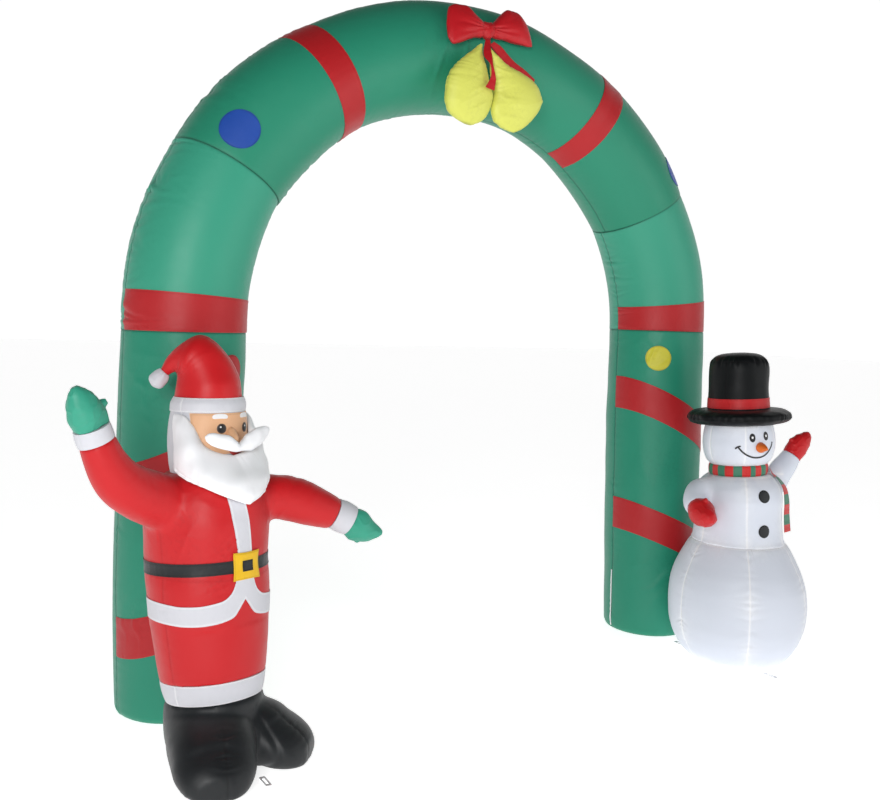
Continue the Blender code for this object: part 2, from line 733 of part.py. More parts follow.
def on_coat(around, height, lift):
    """A point on the coat's own flat-sided surface, lifted off it."""
    flat = 360 / FIGURE_SIDES
    from_middle = radians((around % flat) - flat / 2)
    radius = coat_radius(height) * cos(radians(flat / 2)) / cos(from_middle)
    return on_santa(around, height, radius + lift)


def coat_radius(height):
    for (low, first), (high, second) in zip(COAT_ROWS, COAT_ROWS[1:]):
        if height <= high:
            return first + (second - first) * (height - low) / (high - low)
    return COAT_ROWS[-1][1]


def coat_trim():
    """The white hem of the coat, all round it, which runs up to the belt at the front."""
    columns = [(-arc, low, high) for arc, low, high in reversed(TRIM_EDGE[1:-1])] + list(TRIM_EDGE)
    inner, outer = [], []
    for arc, low, high in columns:
        inner.append([on_coat(arc, low + (high - low) * i / 4, 0.0008) for i in range(5)])
        outer.append([on_coat(arc, low + (high - low) * i / 4, 0.0008 + CLOTH) for i in range(5)])
    return wrapped(inner, outer, closed=True)


def placket(coat):
    """The white strip down the front of the coat, from under the beard to the belt."""
    low, high = santa_level(BELT_HEIGHT), santa_level(0.745)
    up_low = low.to_3x3() @ Vector((0, 0, 1))
    cuts = [(low @ Vector((0, 0, BELT_HALF + 0.0008)), -up_low), (high @ Vector(), high.to_3x3() @ Vector((0, 0, 1))),
            (Vector((0, -0.02, 0)), Vector((0, 1, 0)))]
    # it slants a little towards the raised arm as it goes up
    cuts += slab(Vector((0.010, 0, BELT_HEIGHT)), Vector((1, 0, 0.165)).normalized(), 0.0245)
    return panel(coat, cuts)


def belt(coat):
    level = santa_level(BELT_HEIGHT)
    return panel(coat, slab(level @ Vector(), level.to_3x3() @ Vector((0, 0, 1)), BELT_HALF))


def buckle(coat):
    """The square buckle, over the belt."""
    level = santa_level(BELT_HEIGHT)
    cuts = slab(level @ Vector(), level.to_3x3() @ Vector((0, 0, 1)), 0.0390)
    cuts += slab(level @ Vector((0.006, 0, 0)), Vector((1, 0, 0)), 0.0430)
    cuts.append((Vector((0, -0.02, 0)), Vector((0, 1, 0))))
    return panel(coat, cuts, thick=0.004, lift=CLEAR)


def arm_points(way, rows):
    """Points of an arm: a reach along its way over the floor, and a height."""
    shoulder = santa_level(0.72) @ Vector()
    return [Vector((shoulder.x, shoulder.y, 0)) + way * reach + Vector((0, 0, height)) for reach, height in rows]


def make_santa():
    him = holder("father_christmas", SANTA_AT, SANTA_TURN)
    black_boots = place("santa_boots", boots(), "black_cloth", him)
    shape_by(black_boots, "foot_near", foot(Vector((-0.034, 0.006, 0)), (-0.480, -0.877), 0.98), "UNION")
    shape_by(black_boots, "foot_far", foot(Vector((0.026, 0.004, 0)), (0.560, -0.830), 0.86), "UNION")
    place("santa_trouser_trim", stack(santa_level, TRIM_ROWS), "white_cloth", him)
    place("santa_trousers", stack(santa_level, TROUSER_ROWS), "bright_red_cloth", him)
    coat = stack(santa_level, COAT_ROWS)
    place("santa_coat", coat, "bright_red_cloth", him)
    place("santa_coat_trim", coat_trim(), "white_cloth", him)
    place("santa_placket", placket(coat), "white_cloth", him)
    place("santa_belt", belt(coat), "black_cloth", him)
    place("santa_buckle", buckle(coat), "gold_cloth", him)

    head = stack(santa_level, HEAD_ROWS)
    place("santa_head", head, "white_cloth", him)
    shape_by(place("santa_face", face(head), "skin_cloth", him), "nose", nose(), "UNION")
    place("santa_beard", beard(), "white_cloth", him)
    place("santa_moustache", moustache(), "white_cloth", him)
    place("santa_hat_band", stack(santa_level, HAT_BAND_ROWS), "white_cloth", him)
    place("santa_hat", hat(), "bright_red_cloth", him)
    place("santa_pompom", pompom(), "white_cloth", him)

    # reach, height, half width, half depth
    make_santa_arm(him, coat, "raised", Vector((-1, -0.02, 0)).normalized(), (
        (0.070, 0.706, 0.0700, 0.0700), (0.166, 0.735, 0.0735, 0.0735), (0.228, 0.761, 0.0700, 0.0700),
        (0.280, 0.797, 0.0625, 0.0625), (0.321, 0.843, 0.0560, 0.0560), (0.354, 0.908, 0.0490, 0.0490),
    ), (
        (0.354, 0.908, 0.0490, 0.0490), (0.3625, 0.927, 0.0500, 0.0500), (0.370, 0.946, 0.0480, 0.0480),
    ), (
        (0.370, 0.946, 0.0470, 0.0400), (0.384, 0.982, 0.0515, 0.0400), (0.401, 1.017, 0.0430, 0.0340),
        (0.413, 1.040, 0.0260, 0.0220), (0.419, 1.050, 0.0100, 0.0090),
    ), (
        (0.372, 0.980, 0.0180, 0.0180), (0.343, 1.005, 0.0140, 0.0140), (0.334, 1.011, 0.0060, 0.0060),
    ))
    make_santa_arm(him, coat, "low", Vector((cos(radians(28)), -sin(radians(28)), 0)), (
        (0.070, 0.738, 0.0600, 0.0600), (0.172, 0.724, 0.0625, 0.0625), (0.230, 0.713, 0.0635, 0.0635),
        (0.281, 0.700, 0.0620, 0.0620), (0.335, 0.681, 0.0550, 0.0550), (0.377, 0.663, 0.0465, 0.0465),
    ), (
        (0.377, 0.663, 0.0455, 0.0455), (0.401, 0.651, 0.0480, 0.0480), (0.425, 0.6385, 0.0460, 0.0460),
    ), (
        (0.425, 0.6385, 0.0440, 0.0360), (0.452, 0.624, 0.0480, 0.0360), (0.487, 0.608, 0.0330, 0.0280),
        (0.520, 0.600, 0.0150, 0.0130), (0.530, 0.598, 0.0070, 0.0060),
    ), (
        (0.458, 0.606, 0.0160, 0.0160), (0.450, 0.583, 0.0120, 0.0120), (0.448, 0.574, 0.0050, 0.0050),
    ))


def make_santa_arm(him, coat, name, way, arm_rows, cuff_rows, mitten_rows, thumb_rows):
    """One arm with its cuff and mitten, one after the other along the same path."""
    sideways = Vector((0, 0, 1)).cross(way).normalized()

    def along(rows):
        points = arm_points(way, [row[:2] for row in rows])
        return [(point, row[3], row[2]) for point, row in zip(points, rows)]

    arm, cuff, mitten = limb([along(arm_rows), along(cuff_rows), along(mitten_rows)], sideways, 14)
    item = place("santa_arm_" + name, arm, "bright_red_cloth", him)
    shape_by(item, "coat_clearance_" + name, grown(coat, GAP), "DIFFERENCE")
    place("santa_cuff_" + name, cuff, "white_cloth", him)
    item = place("santa_mitten_" + name, mitten, "mitten_green_cloth", him)
    shape_by(item, "thumb_" + name, sweep(along(thumb_rows), sideways, 8), "UNION")


# ---------------------------------------------------------------- snowman

# height, radius
BASE_ROWS = (
    (0.000, 0.154), (0.010, 0.175), (0.030, 0.198), (0.065, 0.2220), (0.105, 0.2400), (0.155, 0.2520),
    (0.215, 0.2550), (0.275, 0.2500), (0.330, 0.2360), (0.380, 0.2140), (0.420, 0.1930), (0.4477, 0.1760),
)
TORSO_ROWS = (
    (0.4480, 0.1745), (0.4650, 0.1670), (0.5100, 0.1615), (0.5600, 0.1610), (0.6100, 0.1640),
    (0.6500, 0.1570), (0.6850, 0.1360), (0.7032, 0.1130),
)
SCARF_ROWS = ((0.7035, 0.1060), (0.7120, 0.1090), (0.7330, 0.1090), (0.7422, 0.1060))
SNOW_HEAD_ROWS = (
    (0.7425, 0.1030), (0.7600, 0.1190), (0.7900, 0.1300), (0.8250, 0.1345), (0.8600, 0.1320), (0.8937, 0.1240),
)
BRIM_ROWS = (
    (0.8940, 0.1320), (0.8970, 0.1600), (0.9050, 0.1810), (0.9190, 0.1920), (0.9330, 0.1900), (0.9430, 0.1760),
    (0.9500, 0.1480), (0.9515, 0.1180),
)
CROWN_ROWS = (
    (0.9518, 0.1140), (1.0260, 0.1120), (1.1010, 0.1100), (1.1290, 0.1050), (1.1490, 0.0900), (1.1600, 0.0640),
    (1.1640, 0.0280),
)


def snowman_level(height):
    """The frame of a level ring: the base is upright, the rest leans a little to one side and back."""
    above = max(0.0, height - SNOWMAN_WAIST)
    share = min(1.0, above / 0.25)
    move = Vector((-above * 0.022, above * 0.010, height))
    turn = Matrix.Rotation(-SNOWMAN_SIDE_LEAN * share, 4, "Y") @ Matrix.Rotation(-SNOWMAN_BACK_LEAN * share, 4, "X")
    return Matrix.Translation(move) @ turn


def on_snowman(around, height, radius):
    angle = radians(around)
    return snowman_level(height) @ Vector((radius * sin(angle), -radius * cos(angle), 0))


def snow_nose():
    """The pointed nose, standing off the head."""
    level = snowman_level(0.815)
    rows = [(level @ Vector((0, -reach, height)), wide, wide) for reach, height, wide in (
        (0.1365, 0.000, 0.019), (0.149, 0.000, 0.017), (0.167, -0.001, 0.010), (0.179, -0.003, 0.004),
    )]
    return sweep(rows, Vector((1, 0, 0)), 10)


def scarf_tail():
    """The hanging end of the scarf, over the shoulder and down the side of the chest."""
    around = 56.0
    rows = []
    # height, reach from the axis, half width, how far the face is turned to the front
    for height, radius, half_wide, turned in (
        (0.7230, 0.1150, 0.016, 0), (0.7040, 0.1240, 0.018, 6), (0.6850, 0.1450, 0.020, 12),
        (0.6500, 0.1690, 0.023, 20), (0.6100, 0.1765, 0.025, 24), (0.5500, 0.1770, 0.027, 26),
        (0.4920, 0.1800, 0.028, 28),
    ):
        middle = on_snowman(around, height, radius)
        face = on_snowman(around - turned, height, 0.01) - on_snowman(around, height, 0)
        rows.append((middle, face.cross(Vector((0, 0, 1))), half_wide, face))
    return strip(rows, 0.002)


def make_snow_arm(him, torso, name, arm_rows, mitten_rows, thumb_rows, hint):
    """One arm and its mitten. A row is a point in the snowman's own frame and two half widths."""
    arm, mitten = limb([arm_rows, mitten_rows], hint, 14)
    item = place("snowman_arm_" + name, arm, "white_cloth", him)
    shape_by(item, "torso_clearance_" + name, grown(torso, GAP), "DIFFERENCE")
    item = place("snowman_mitten_" + name, mitten, "bright_red_cloth", him)
    shape_by(item, "snow_thumb_" + name, sweep(thumb_rows, hint, 8), "UNION")


def make_snowman():
    him = holder("snowman", SNOWMAN_AT, SNOWMAN_TURN)
    place("snowman_base", stack(snowman_level, BASE_ROWS), "white_cloth", him)
    torso = stack(snowman_level, TORSO_ROWS)
    place("snowman_torso", torso, "white_cloth", him)
    place("snowman_scarf", stack(snowman_level, SCARF_ROWS), "bright_red_cloth", him)
    place("snowman_scarf_tail", scarf_tail(), "bright_red_cloth", him)
    head = stack(snowman_level, SNOW_HEAD_ROWS)
    place("snowman_head", head, "white_cloth", him)
    place("snowman_nose", snow_nose(), "orange_cloth", him)
    place("snowman_brim", stack(snowman_level, BRIM_ROWS), "black_cloth", him)
    hat_crown = stack(snowman_level, CROWN_ROWS)
    place("snowman_crown", hat_crown, "black_cloth", him)
    level = snowman_level(0.9745)
    ribbon = panel(hat_crown, slab(level @ Vector(), level.to_3x3() @ Vector((0, 0, 1)), 0.0185))
    place("snowman_hat_ribbon", ribbon, "bright_red_cloth", him)

    make_snow_arm(him, torso, "far", (
        ((0.075, 0, 0.590), 0.052, 0.052), ((0.138, 0, 0.650), 0.051, 0.051), ((0.177, 0, 0.697), 0.047, 0.047),
        ((0.212, 0, 0.740), 0.042, 0.042), ((0.232, 0, 0.7660), 0.0385, 0.0385),
    ), (
        ((0.232, 0, 0.7660), 0.036, 0.036), ((0.254, 0, 0.792), 0.034, 0.042), ((0.279, 0, 0.820), 0.030, 0.038),
        ((0.300, 0, 0.842), 0.020, 0.024), ((0.311, 0, 0.854), 0.008, 0.009),
    ), (
        ((0.254, 0, 0.800), 0.016, 0.016), ((0.234, 0, 0.824), 0.013, 0.013), ((0.227, 0, 0.833), 0.005, 0.005),
    ), Vector((0, 1, 0)))
    make_snow_arm(him, torso, "near", (
        ((-0.085, 0.010, 0.640), 0.045, 0.045), ((-0.136, 0.006, 0.643), 0.046, 0.046),
        ((-0.185, -0.004, 0.630), 0.048, 0.048), ((-0.206, -0.024, 0.606), 0.046, 0.046),
        ((-0.212, -0.045, 0.588), 0.044, 0.044),
    ), (
        ((-0.212, -0.045, 0.588), 0.042, 0.042), ((-0.213, -0.074, 0.575), 0.047, 0.050),
        ((-0.213, -0.108, 0.564), 0.039, 0.042), ((-0.213, -0.138, 0.556), 0.023, 0.025),
        ((-0.213, -0.150, 0.552), 0.008, 0.009),
    ), (
        ((-0.213, -0.080, 0.590), 0.016, 0.016), ((-0.211, -0.096, 0.620), 0.011, 0.011),
        ((-0.210, -0.100, 0.628), 0.005, 0.005),
    ), Vector((1, 0, 0)))


# ---------------------------------------------------------------- tie loops

def tie_loop():
    """A flat webbing loop with its slot, lying on the floor and pointing to the front."""
    body = bmesh.new()
    corners = ((1, 1), (-1, 1), (-1, -1), (1, -1))
    rings = []
    for half_x, half_y in ((TIE_WIDE / 2, TIE_LONG / 2), (TIE_SLOT_WIDE / 2, TIE_SLOT_LONG / 2)):
        for height in (0.0, TIE_THICK):
            rings.append([body.verts.new((half_x * x, half_y * y, height)) for x, y in corners])
    outer_low, outer_high, inner_low, inner_high = rings
    for first, second in ((outer_low, outer_high), (outer_high, inner_high),
                          (inner_high, inner_low), (inner_low, outer_low)):
        for i in range(4):
            j = (i + 1) % 4
            body.faces.new((first[i], first[j], second[j], second[i]))
    bmesh.ops.recalc_face_normals(body, faces=body.faces)
    return body


def make_ties():
    for name, place_at in (
        ("tie_santa", (-0.935, -0.640, 0)),
        ("tie_snowman_side", (0.945, -0.258, 0)),
        ("tie_snowman_front", (0.985, -0.672, 0)),
    ):
        place(name, tie_loop(), "white_cloth").location = place_at


def centre_footprint():
    for item in bpy.data.objects:
        if item.parent is None:
            item.location += FOOTPRINT_SHIFT


def main():
    clear_scene()
    make_arch()
    make_bow()
    make_santa()
    make_snowman()
    make_ties()
    centre_footprint()


main()
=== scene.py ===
"""The cloth of an inflatable Christmas arch, with Father Christmas at its left leg and a snowman at its
right.

Laid out as an add-on: sizes and colours are properties, each piece or group of like pieces is an
operator, and the sidebar panel lists them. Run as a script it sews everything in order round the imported
part.

Units are metres, +Z is up. Every filled length is a form: a middle, two half axes and its folds at any
station along it. A sewn panel is a patch of the same form, so it follows the same folds, a little lifted.
"""

from math import atan, cos, hypot, pi, radians, sin

import bpy
import numpy as np
from bpy.props import FloatProperty, FloatVectorProperty, PointerProperty
from mathutils import Matrix, Vector


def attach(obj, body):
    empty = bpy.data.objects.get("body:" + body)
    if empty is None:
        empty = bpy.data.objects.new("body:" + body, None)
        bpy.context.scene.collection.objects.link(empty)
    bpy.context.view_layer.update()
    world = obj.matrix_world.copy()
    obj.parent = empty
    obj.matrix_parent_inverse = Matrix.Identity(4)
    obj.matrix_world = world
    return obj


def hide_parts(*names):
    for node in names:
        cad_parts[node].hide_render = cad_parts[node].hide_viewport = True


bl_info = {
    "name": "Inflatable Christmas arch",
    "version": (1, 0, 0),
    "blender": (4, 5, 0),
    "location": "3D View > Sidebar > Inflatable arch",
    "description": "Sews the arch, its bow and bells and its two figures, and sets the studio round them",
    "category": "Object",
}

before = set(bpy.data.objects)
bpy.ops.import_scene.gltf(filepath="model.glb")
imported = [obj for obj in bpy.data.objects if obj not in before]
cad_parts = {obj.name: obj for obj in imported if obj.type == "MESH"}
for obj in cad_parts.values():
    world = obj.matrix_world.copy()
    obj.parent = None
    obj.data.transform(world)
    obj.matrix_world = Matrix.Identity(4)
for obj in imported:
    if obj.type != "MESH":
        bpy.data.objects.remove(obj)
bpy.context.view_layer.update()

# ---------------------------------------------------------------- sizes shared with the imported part

# from the design's own origin to the middle of the part's footprint
FOOTPRINT_SHIFT = Vector((0.0566, 0.2635, 0.0))
# room at a seam, thickness of a sewn panel, and room between pieces that are not sewn together
GAP = 0.0003
CLOTH = 0.0012
CLEAR = 0.0030

ARCH_HEIGHT = 2.41
TUBE_RADIUS = 0.1925
# how much fuller the crown is than the plain tube
FULLNESS = 0.007
SPRING_HEIGHT = 1.249
HALF_SPAN = 1.005
RISE = ARCH_HEIGHT - TUBE_RADIUS - FULLNESS - SPRING_HEIGHT
# turns from the spring in degrees at each side: the cross seam, then the middle of the crown's band
CROSS_SEAM = {-1: 28.4, 1: 30.0}
CROWN_BAND = {-1: 55.4, 1: 57.5}
# height of the seam at the top of each leg
LEG_SEAM = {-1: 1.190, 1: 1.237}
FOOT_ROWS = (
    # height, radius
    (0.000, 0.1620), (0.006, 0.1730), (0.022, 0.1800), (0.060, 0.1830), (0.110, 0.1850), (0.300, 0.1895),
    (0.550, 0.1925), (0.800, 0.1940), (1.000, 0.1940), (1.237, 0.1935),
)
BAND_WIDTH = 0.115
CROWN_BAND_WIDTH = 0.101
CROWN_BAND_SPREAD = radians(1.7)
# how the side seams of a leg are turned in plan, and the seams themselves in turns from its front
SEAM_TWIST = 0.0956
OUTER_SEAM = atan(1 / SEAM_TWIST)
INNER_SEAM = OUTER_SEAM - pi
CROWN_SEAM = radians(88)
SIDE_NAME = {-1: "left", 1: "right"}
LEG_BANDS = {
    # height at the middle of the front, fall to the outer side
    "left_upper": (-1, 0.813, 0.52),
    "left_lower": (-1, 0.321, 0.40),
    "right_upper": (1, 0.879, 0.53),
    "right_lower": (1, 0.399, 0.455),
}

BOW_CENTRE = Vector((0.0, -0.218, 2.260))
BOW_TILT = radians(16)
BELL_PLANE = -0.252
BOW_ROWS = (
    # across from the knot, lowest point, highest point, half thickness
    (-0.197, -0.047, 0.010, 0.004), (-0.181, -0.066, 0.074, 0.016), (-0.150, -0.056, 0.090, 0.024),
    (-0.113, -0.040, 0.090, 0.027), (-0.075, -0.026, 0.058, 0.024), (-0.048, -0.022, 0.042, 0.020),
    (-0.030, -0.021, 0.040, 0.023), (-0.008, -0.014, 0.046, 0.020), (0.030, -0.014, 0.080, 0.024),
    (0.070, -0.017, 0.110, 0.027), (0.105, -0.020, 0.108, 0.025), (0.138, -0.022, 0.076, 0.017),
    (0.156, -0.018, 0.012, 0.004),
)
BELL_ROWS = {
    # share of the length from the tip, width on the outer side, width on the inner side, half thickness
    "left": (
        (0.00, 0.006, 0.006, 0.004), (0.10, 0.028, 0.009, 0.014), (0.25, 0.066, 0.031, 0.028),
        (0.42, 0.096, 0.054, 0.037), (0.60, 0.107, 0.077, 0.041), (0.76, 0.105, 0.070, 0.039),
        (0.90, 0.088, 0.052, 0.029), (0.97, 0.054, 0.027, 0.018), (1.00, 0.022, 0.012, 0.008),
    ),
    "right": (
        (0.00, 0.005, 0.005, 0.004), (0.10, 0.020, 0.006, 0.013), (0.25, 0.050, 0.018, 0.024),
        (0.36, 0.088, 0.028, 0.032), (0.50, 0.131, 0.042, 0.038), (0.64, 0.149, 0.069, 0.041),
        (0.77, 0.146, 0.075, 0.039), (0.90, 0.107, 0.052, 0.028), (0.97, 0.062, 0.026, 0.016),
        (1.00, 0.024, 0.012, 0.008),
    ),
}

SANTA_AT = Vector((-1.0082, -0.418, 0.0))
SANTA_TURN = radians(18)
SANTA_LEAN_LOW = radians(8.0)
SANTA_LEAN_HIGH = radians(1.5)
SANTA_ANKLE = 0.1763
SANTA_BROW = 0.95
TRIM_ROWS = ((0.1766, 0.1370), (0.2050, 0.1430), (0.2325, 0.1464))
TROUSER_ROWS = ((0.2328, 0.1464), (0.2800, 0.1530), (0.3300, 0.1590), (0.3800, 0.1636))
COAT_ROWS = (
    (0.3803, 0.1636), (0.4300, 0.1680), (0.4850, 0.1710), (0.5475, 0.1715), (0.6000, 0.1740),
    (0.6600, 0.1760), (0.7100, 0.1720), (0.7500, 0.1590), (0.7820, 0.1370), (0.8000, 0.1120),
)
HEAD_ROWS = ((0.8003, 0.1020), (0.8300, 0.1090), (0.8700, 0.1120), (0.9200, 0.1100), (0.9720, 0.1050))
HAT_BAND_ROWS = ((0.9723, 0.1060), (0.9920, 0.1050), (1.0115, 0.0990))
HAT_ROWS = (
    # the outer edge and the inner edge, as a reach in the way it folds and a height above the band
    (-0.0950, 0.0003, 0.0950, 0.0003), (-0.0900, 0.0400, 0.0925, 0.0260), (-0.0740, 0.0800, 0.0900, 0.0450),
    (-0.0500, 0.1200, 0.0890, 0.0560), (-0.0160, 0.1560, 0.0895, 0.0630), (0.0300, 0.1745, 0.0915, 0.0670),
    (0.0730, 0.1560, 0.0940, 0.0690), (0.1030, 0.1280, 0.0985, 0.0680), (0.1230, 0.0980, 0.1055, 0.0640),
    (0.1330, 0.0760, 0.1130, 0.0590),
)
HAT_FOLD = radians(143.5)
BEARD_ROWS = (
    # half the arc in degrees, height of the top, height of the foot, most thickness
    (0, 0.851, 0.719, 0.050), (19, 0.860, 0.744, 0.050), (38, 0.880, 0.772, 0.047), (56, 0.936, 0.793, 0.041),
    (74, 0.964, 0.825, 0.024), (82, 0.966, 0.880, 0.007), (90, 0.966, 0.930, 0.002),
)
TRIM_EDGE = (
    # arc from the front in degrees, lower edge, upper edge
    (0.0, 0.4550, 0.5270), (3.75, 0.4400, 0.5270), (7.5, 0.4245, 0.5265), (11.25, 0.4120, 0.4920),
    (15.0, 0.4065, 0.4740), (22.5, 0.4010, 0.4590), (30.0, 0.3975, 0.4545), (45.0, 0.3950, 0.4500),
    (60.0, 0.3965, 0.4510), (75.0, 0.4010, 0.4560), (90.0, 0.4050, 0.4600), (105.0, 0.4080, 0.4620),
    (120.0, 0.4090, 0.4630), (180.0, 0.4090, 0.4630),
)
BELT_HEIGHT, BELT_HALF = 0.5475, 0.0175
FOOT_SHAPE = (
    # reach from under the ankle, half width, height
    (-0.105, 0.040, 0.090), (-0.085, 0.078, 0.128), (-0.045, 0.106, 0.152), (0.020, 0.118, 0.162),
    (0.090, 0.123, 0.164), (0.160, 0.124, 0.152), (0.210, 0.122, 0.132), (0.252, 0.111, 0.109),
    (0.286, 0.090, 0.085), (0.308, 0.056, 0.060),
)

SNOWMAN_AT = Vector((1.027, -0.461, 0.0))
SNOWMAN_TURN = radians(-12.5)
SNOWMAN_WAIST = 0.4480
SNOWMAN_SIDE_LEAN = radians(3.0)
SNOWMAN_BACK_LEAN = radians(1.5)
BASE_ROWS = (
    (0.000, 0.154), (0.010, 0.175), (0.030, 0.198), (0.065, 0.2220), (0.105, 0.2400), (0.155, 0.2520),
    (0.215, 0.2550), (0.275, 0.2500), (0.330, 0.2360), (0.380, 0.2140), (0.420, 0.1930), (0.4477, 0.1760),
)
TORSO_ROWS = (
    (0.4480, 0.1745), (0.4650, 0.1670), (0.5100, 0.1615), (0.5600, 0.1610), (0.6100, 0.1640),
    (0.6500, 0.1570), (0.6850, 0.1360), (0.7032, 0.1130),
)
SCARF_ROWS = ((0.7035, 0.1060), (0.7120, 0.1090), (0.7330, 0.1090), (0.7422, 0.1060))
SNOW_HEAD_ROWS = (
    (0.7425, 0.1030), (0.7600, 0.1190), (0.7900, 0.1300),
    (0.8250, 0.1345), (0.8600, 0.1320), (0.8937, 0.1240),
)
BRIM_ROWS = (
    (0.8940, 0.1320), (0.8970, 0.1600), (0.9050, 0.1810),
    (0.9190, 0.1920), (0.9330, 0.1900), (0.9430, 0.1760),
    (0.9500, 0.1480), (0.9515, 0.1180),
)
CROWN_ROWS = (
    (0.9518, 0.1140), (1.0260, 0.1120), (1.1010, 0.1100),
    (1.1290, 0.1050), (1.1490, 0.0900), (1.1600, 0.0640),
    (1.1640, 0.0280),
)
SNOW_SEAMS = tuple(radians(turn) for turn in (-23.5, -85.0, 38.0, 99.5, 161.0, -146.5))

TIE_LONG, TIE_WIDE, TIE_THICK = 0.058, 0.017, 0.003
TIE_SLOT_LONG, TIE_SLOT_WIDE = 0.036, 0.008
TIES = {
    "tie_santa": (-0.935, -0.640),
    "tie_snowman_side": (0.945, -0.258),
    "tie_snowman_front": (0.985, -0.672),
}


# ---------------------------------------------------------------- numbers

def smooth(at, known, values, loose=False):
    """Values between known ones, on a smooth line. It never overshoots them unless it is loose."""
    at, known, values = np.asarray(at, float), np.asarray(known, float), np.asarray(values, float)
    step = np.diff(known)
    if values.ndim > 1:
        step = step[:, None]
    slope = np.diff(values, axis=0) / step
    before, after = slope[:-1], slope[1:]
    tangent = np.zeros_like(values)
    tangent[0], tangent[-1] = slope[0], slope[-1]
    if loose:
        tangent[1:-1] = (before * step[1:] + after * step[:-1]) / (step[1:] + step[:-1])
    else:
        both = before + after
        level = np.where(np.abs(both) > 1e-12, both, 1.0)
        tangent[1:-1] = np.where(before * after > 0, 2 * before * after / level, 0.0)
    spot = np.clip(np.searchsorted(known, at) - 1, 0, len(known) - 2)
    share = (at - known[spot]) / np.diff(known)[spot]
    width = np.diff(known)[spot]
    if values.ndim > 1:
        share, width = share[..., None], width[..., None]
    square, cube = share ** 2, share ** 3
    return (
        values[spot] * (2 * cube - 3 * square + 1)
        + tangent[spot] * width * (cube - 2 * square + share)
        + values[spot + 1] * (3 * square - 2 * cube)
        + tangent[spot + 1] * width * (cube - square)
    )


def ripple(at, seed):
    """An uneven line from about -1 to 1, with about one swing for each unit of length."""
    chance = np.random.default_rng(seed)
    total = 0
    for rate in chance.uniform(0.45, 1.55, 5):
        total = total + np.sin(2 * pi * (rate * at + chance.uniform()))
    return total / 2.6


def drift(spots, size, seed):
    """Uneven soft ground from about -1 to 1 in space, with swells of about the given size."""
    chance = np.random.default_rng(seed)
    total = 0
    for _ in range(7):
        way = chance.normal(size=3)
        way = way / np.linalg.norm(way) * chance.uniform(0.55, 1.35) / size
        total = total + np.sin(2 * pi * (spots @ way + chance.uniform()))
    return total / 3.0


def gathers(run, pitch, seed):
    """Small gathers in a row: round tops between sharp valleys, from -1 to 1, each a little different."""
    phase = run / pitch * pi + 1.5 * ripple(run / pitch / 3.7, seed)
    return (2 * np.abs(np.sin(phase)) - 1) * (0.62 + 0.38 * ripple(run / pitch / 2.3, seed + 1))


def creases(spots, size, seed):
    """Thin raised creases, 0 to 1, that wander over the cloth."""
    return np.clip(1 - 2.2 * np.abs(drift(spots, size, seed)), 0, 1) ** 1.5


def unit(ways):
    return ways / np.linalg.norm(ways, axis=-1, keepdims=True)


def lengths(path, extra=0.0):
    """The length along a path up to each of its points."""
    return np.concatenate([[0], np.cumsum(np.linalg.norm(np.diff(path, axis=0), axis=-1) + extra)])


def moved(points, matrix):
    """Points in the frame that a matrix leads to."""
    return points @ matrix[:3, :3].T + matrix[:3, 3]


def turn_gap(around, seam):
    """How far each turn is from a seam, in radians."""
    return np.abs((around - seam + pi) % (2 * pi) - pi)


def steps(low, high, wide, tight=(), narrow=None, reach=0.02):
    """Stations from low to high, closer together near the tight places."""
    fine = np.linspace(low, high, 6000)
    size = np.full_like(fine, wide)
    for place in tight:
        share = np.clip((np.abs(fine - place) - reach * 0.4) / reach, 0, 1)
        size = np.minimum(size, narrow + (wide - narrow) * share)
    run = np.concatenate([[0], np.cumsum(np.diff(fine) / ((size[1:] + size[:-1]) / 2))])
    return np.interp(np.linspace(0, run[-1], max(3, int(run[-1]) + 1)), run, fine)


def turns(radius, wide, seams=(), narrow=None, reach=0.02):
    """Columns round a form, closer together near its seams, without the last one that closes it."""
    seams = [s % (2 * pi) * radius for s in seams]
    girth = 2 * pi * radius
    near = [s + girth * k for s in seams for k in (-1, 0, 1)]
    return steps(0, girth, wide, near, narrow or wide, reach)[:-1] / radius


# ---------------------------------------------------------------- forms

class Relief:
    """Heights over a form, how near each point is to a seam, and how much the cloth is pulled there."""

    def __init__(self, along):
        self.height = np.zeros_like(along)
        self.seam = np.zeros_like(along)
        self.pull = np.zeros_like(along)

    def swell(self, spots, size, depth, seed):
        self.height += depth * drift(spots, size, seed)
        return self

    def stitch(self, gap, run, seed, dip=0.0022, tuck=0.0014, pitch=0.030, reach=0.035, width=0.006):
        """A seam: the cloth dips to it, and small gathers run off it and fade."""
        gap = np.abs(gap)
        uneven = 0.35 + 0.65 * np.clip(ripple(run / 0.23, seed + 7) + 0.35, 0, 1)
        fade = np.exp(-gap / reach) * np.clip(gap / 0.004, 0.25, 1)
        skewed = run + gap * 0.35 * ripple(run / 0.11, seed + 3)
        self.height += -dip * np.exp(-gap / width) + tuck * uneven * fade * gathers(skewed, pitch, seed)
        self.seam = np.maximum(self.seam, np.exp(-((gap / 0.0032) ** 2)))
        self.pull = np.maximum(self.pull, np.exp(-gap / (reach * 0.9)) * uneven)
        return self

    def pinch(self, gap, run, share, seed):
        """The edge of a panel that is sewn on: the cloth under it dips, with small tucks."""
        gap = np.abs(gap)
        tucks = 0.0006 * np.exp(-gap / 0.012) * gathers(run, 0.031, seed)
        self.height += share * (tucks - 0.0008 * np.exp(-gap / 0.004))

    def wrinkle(self, spots, centre, size, depth, pitch, way, seed):
        """A patch of creases about a point, that run along the given way."""
        off = spots - np.asarray(centre)
        share = np.exp(-np.sum(off * off, -1) / size ** 2)
        way = unit(np.asarray(way, float))
        squeezed = off - (off @ way)[..., None] * way * 0.82
        self.height += depth * share * (creases(squeezed, pitch, seed) - 0.35)
        self.pull = np.maximum(self.pull, share)
        return self


def plain(along, around, spots):
    return Relief(along)


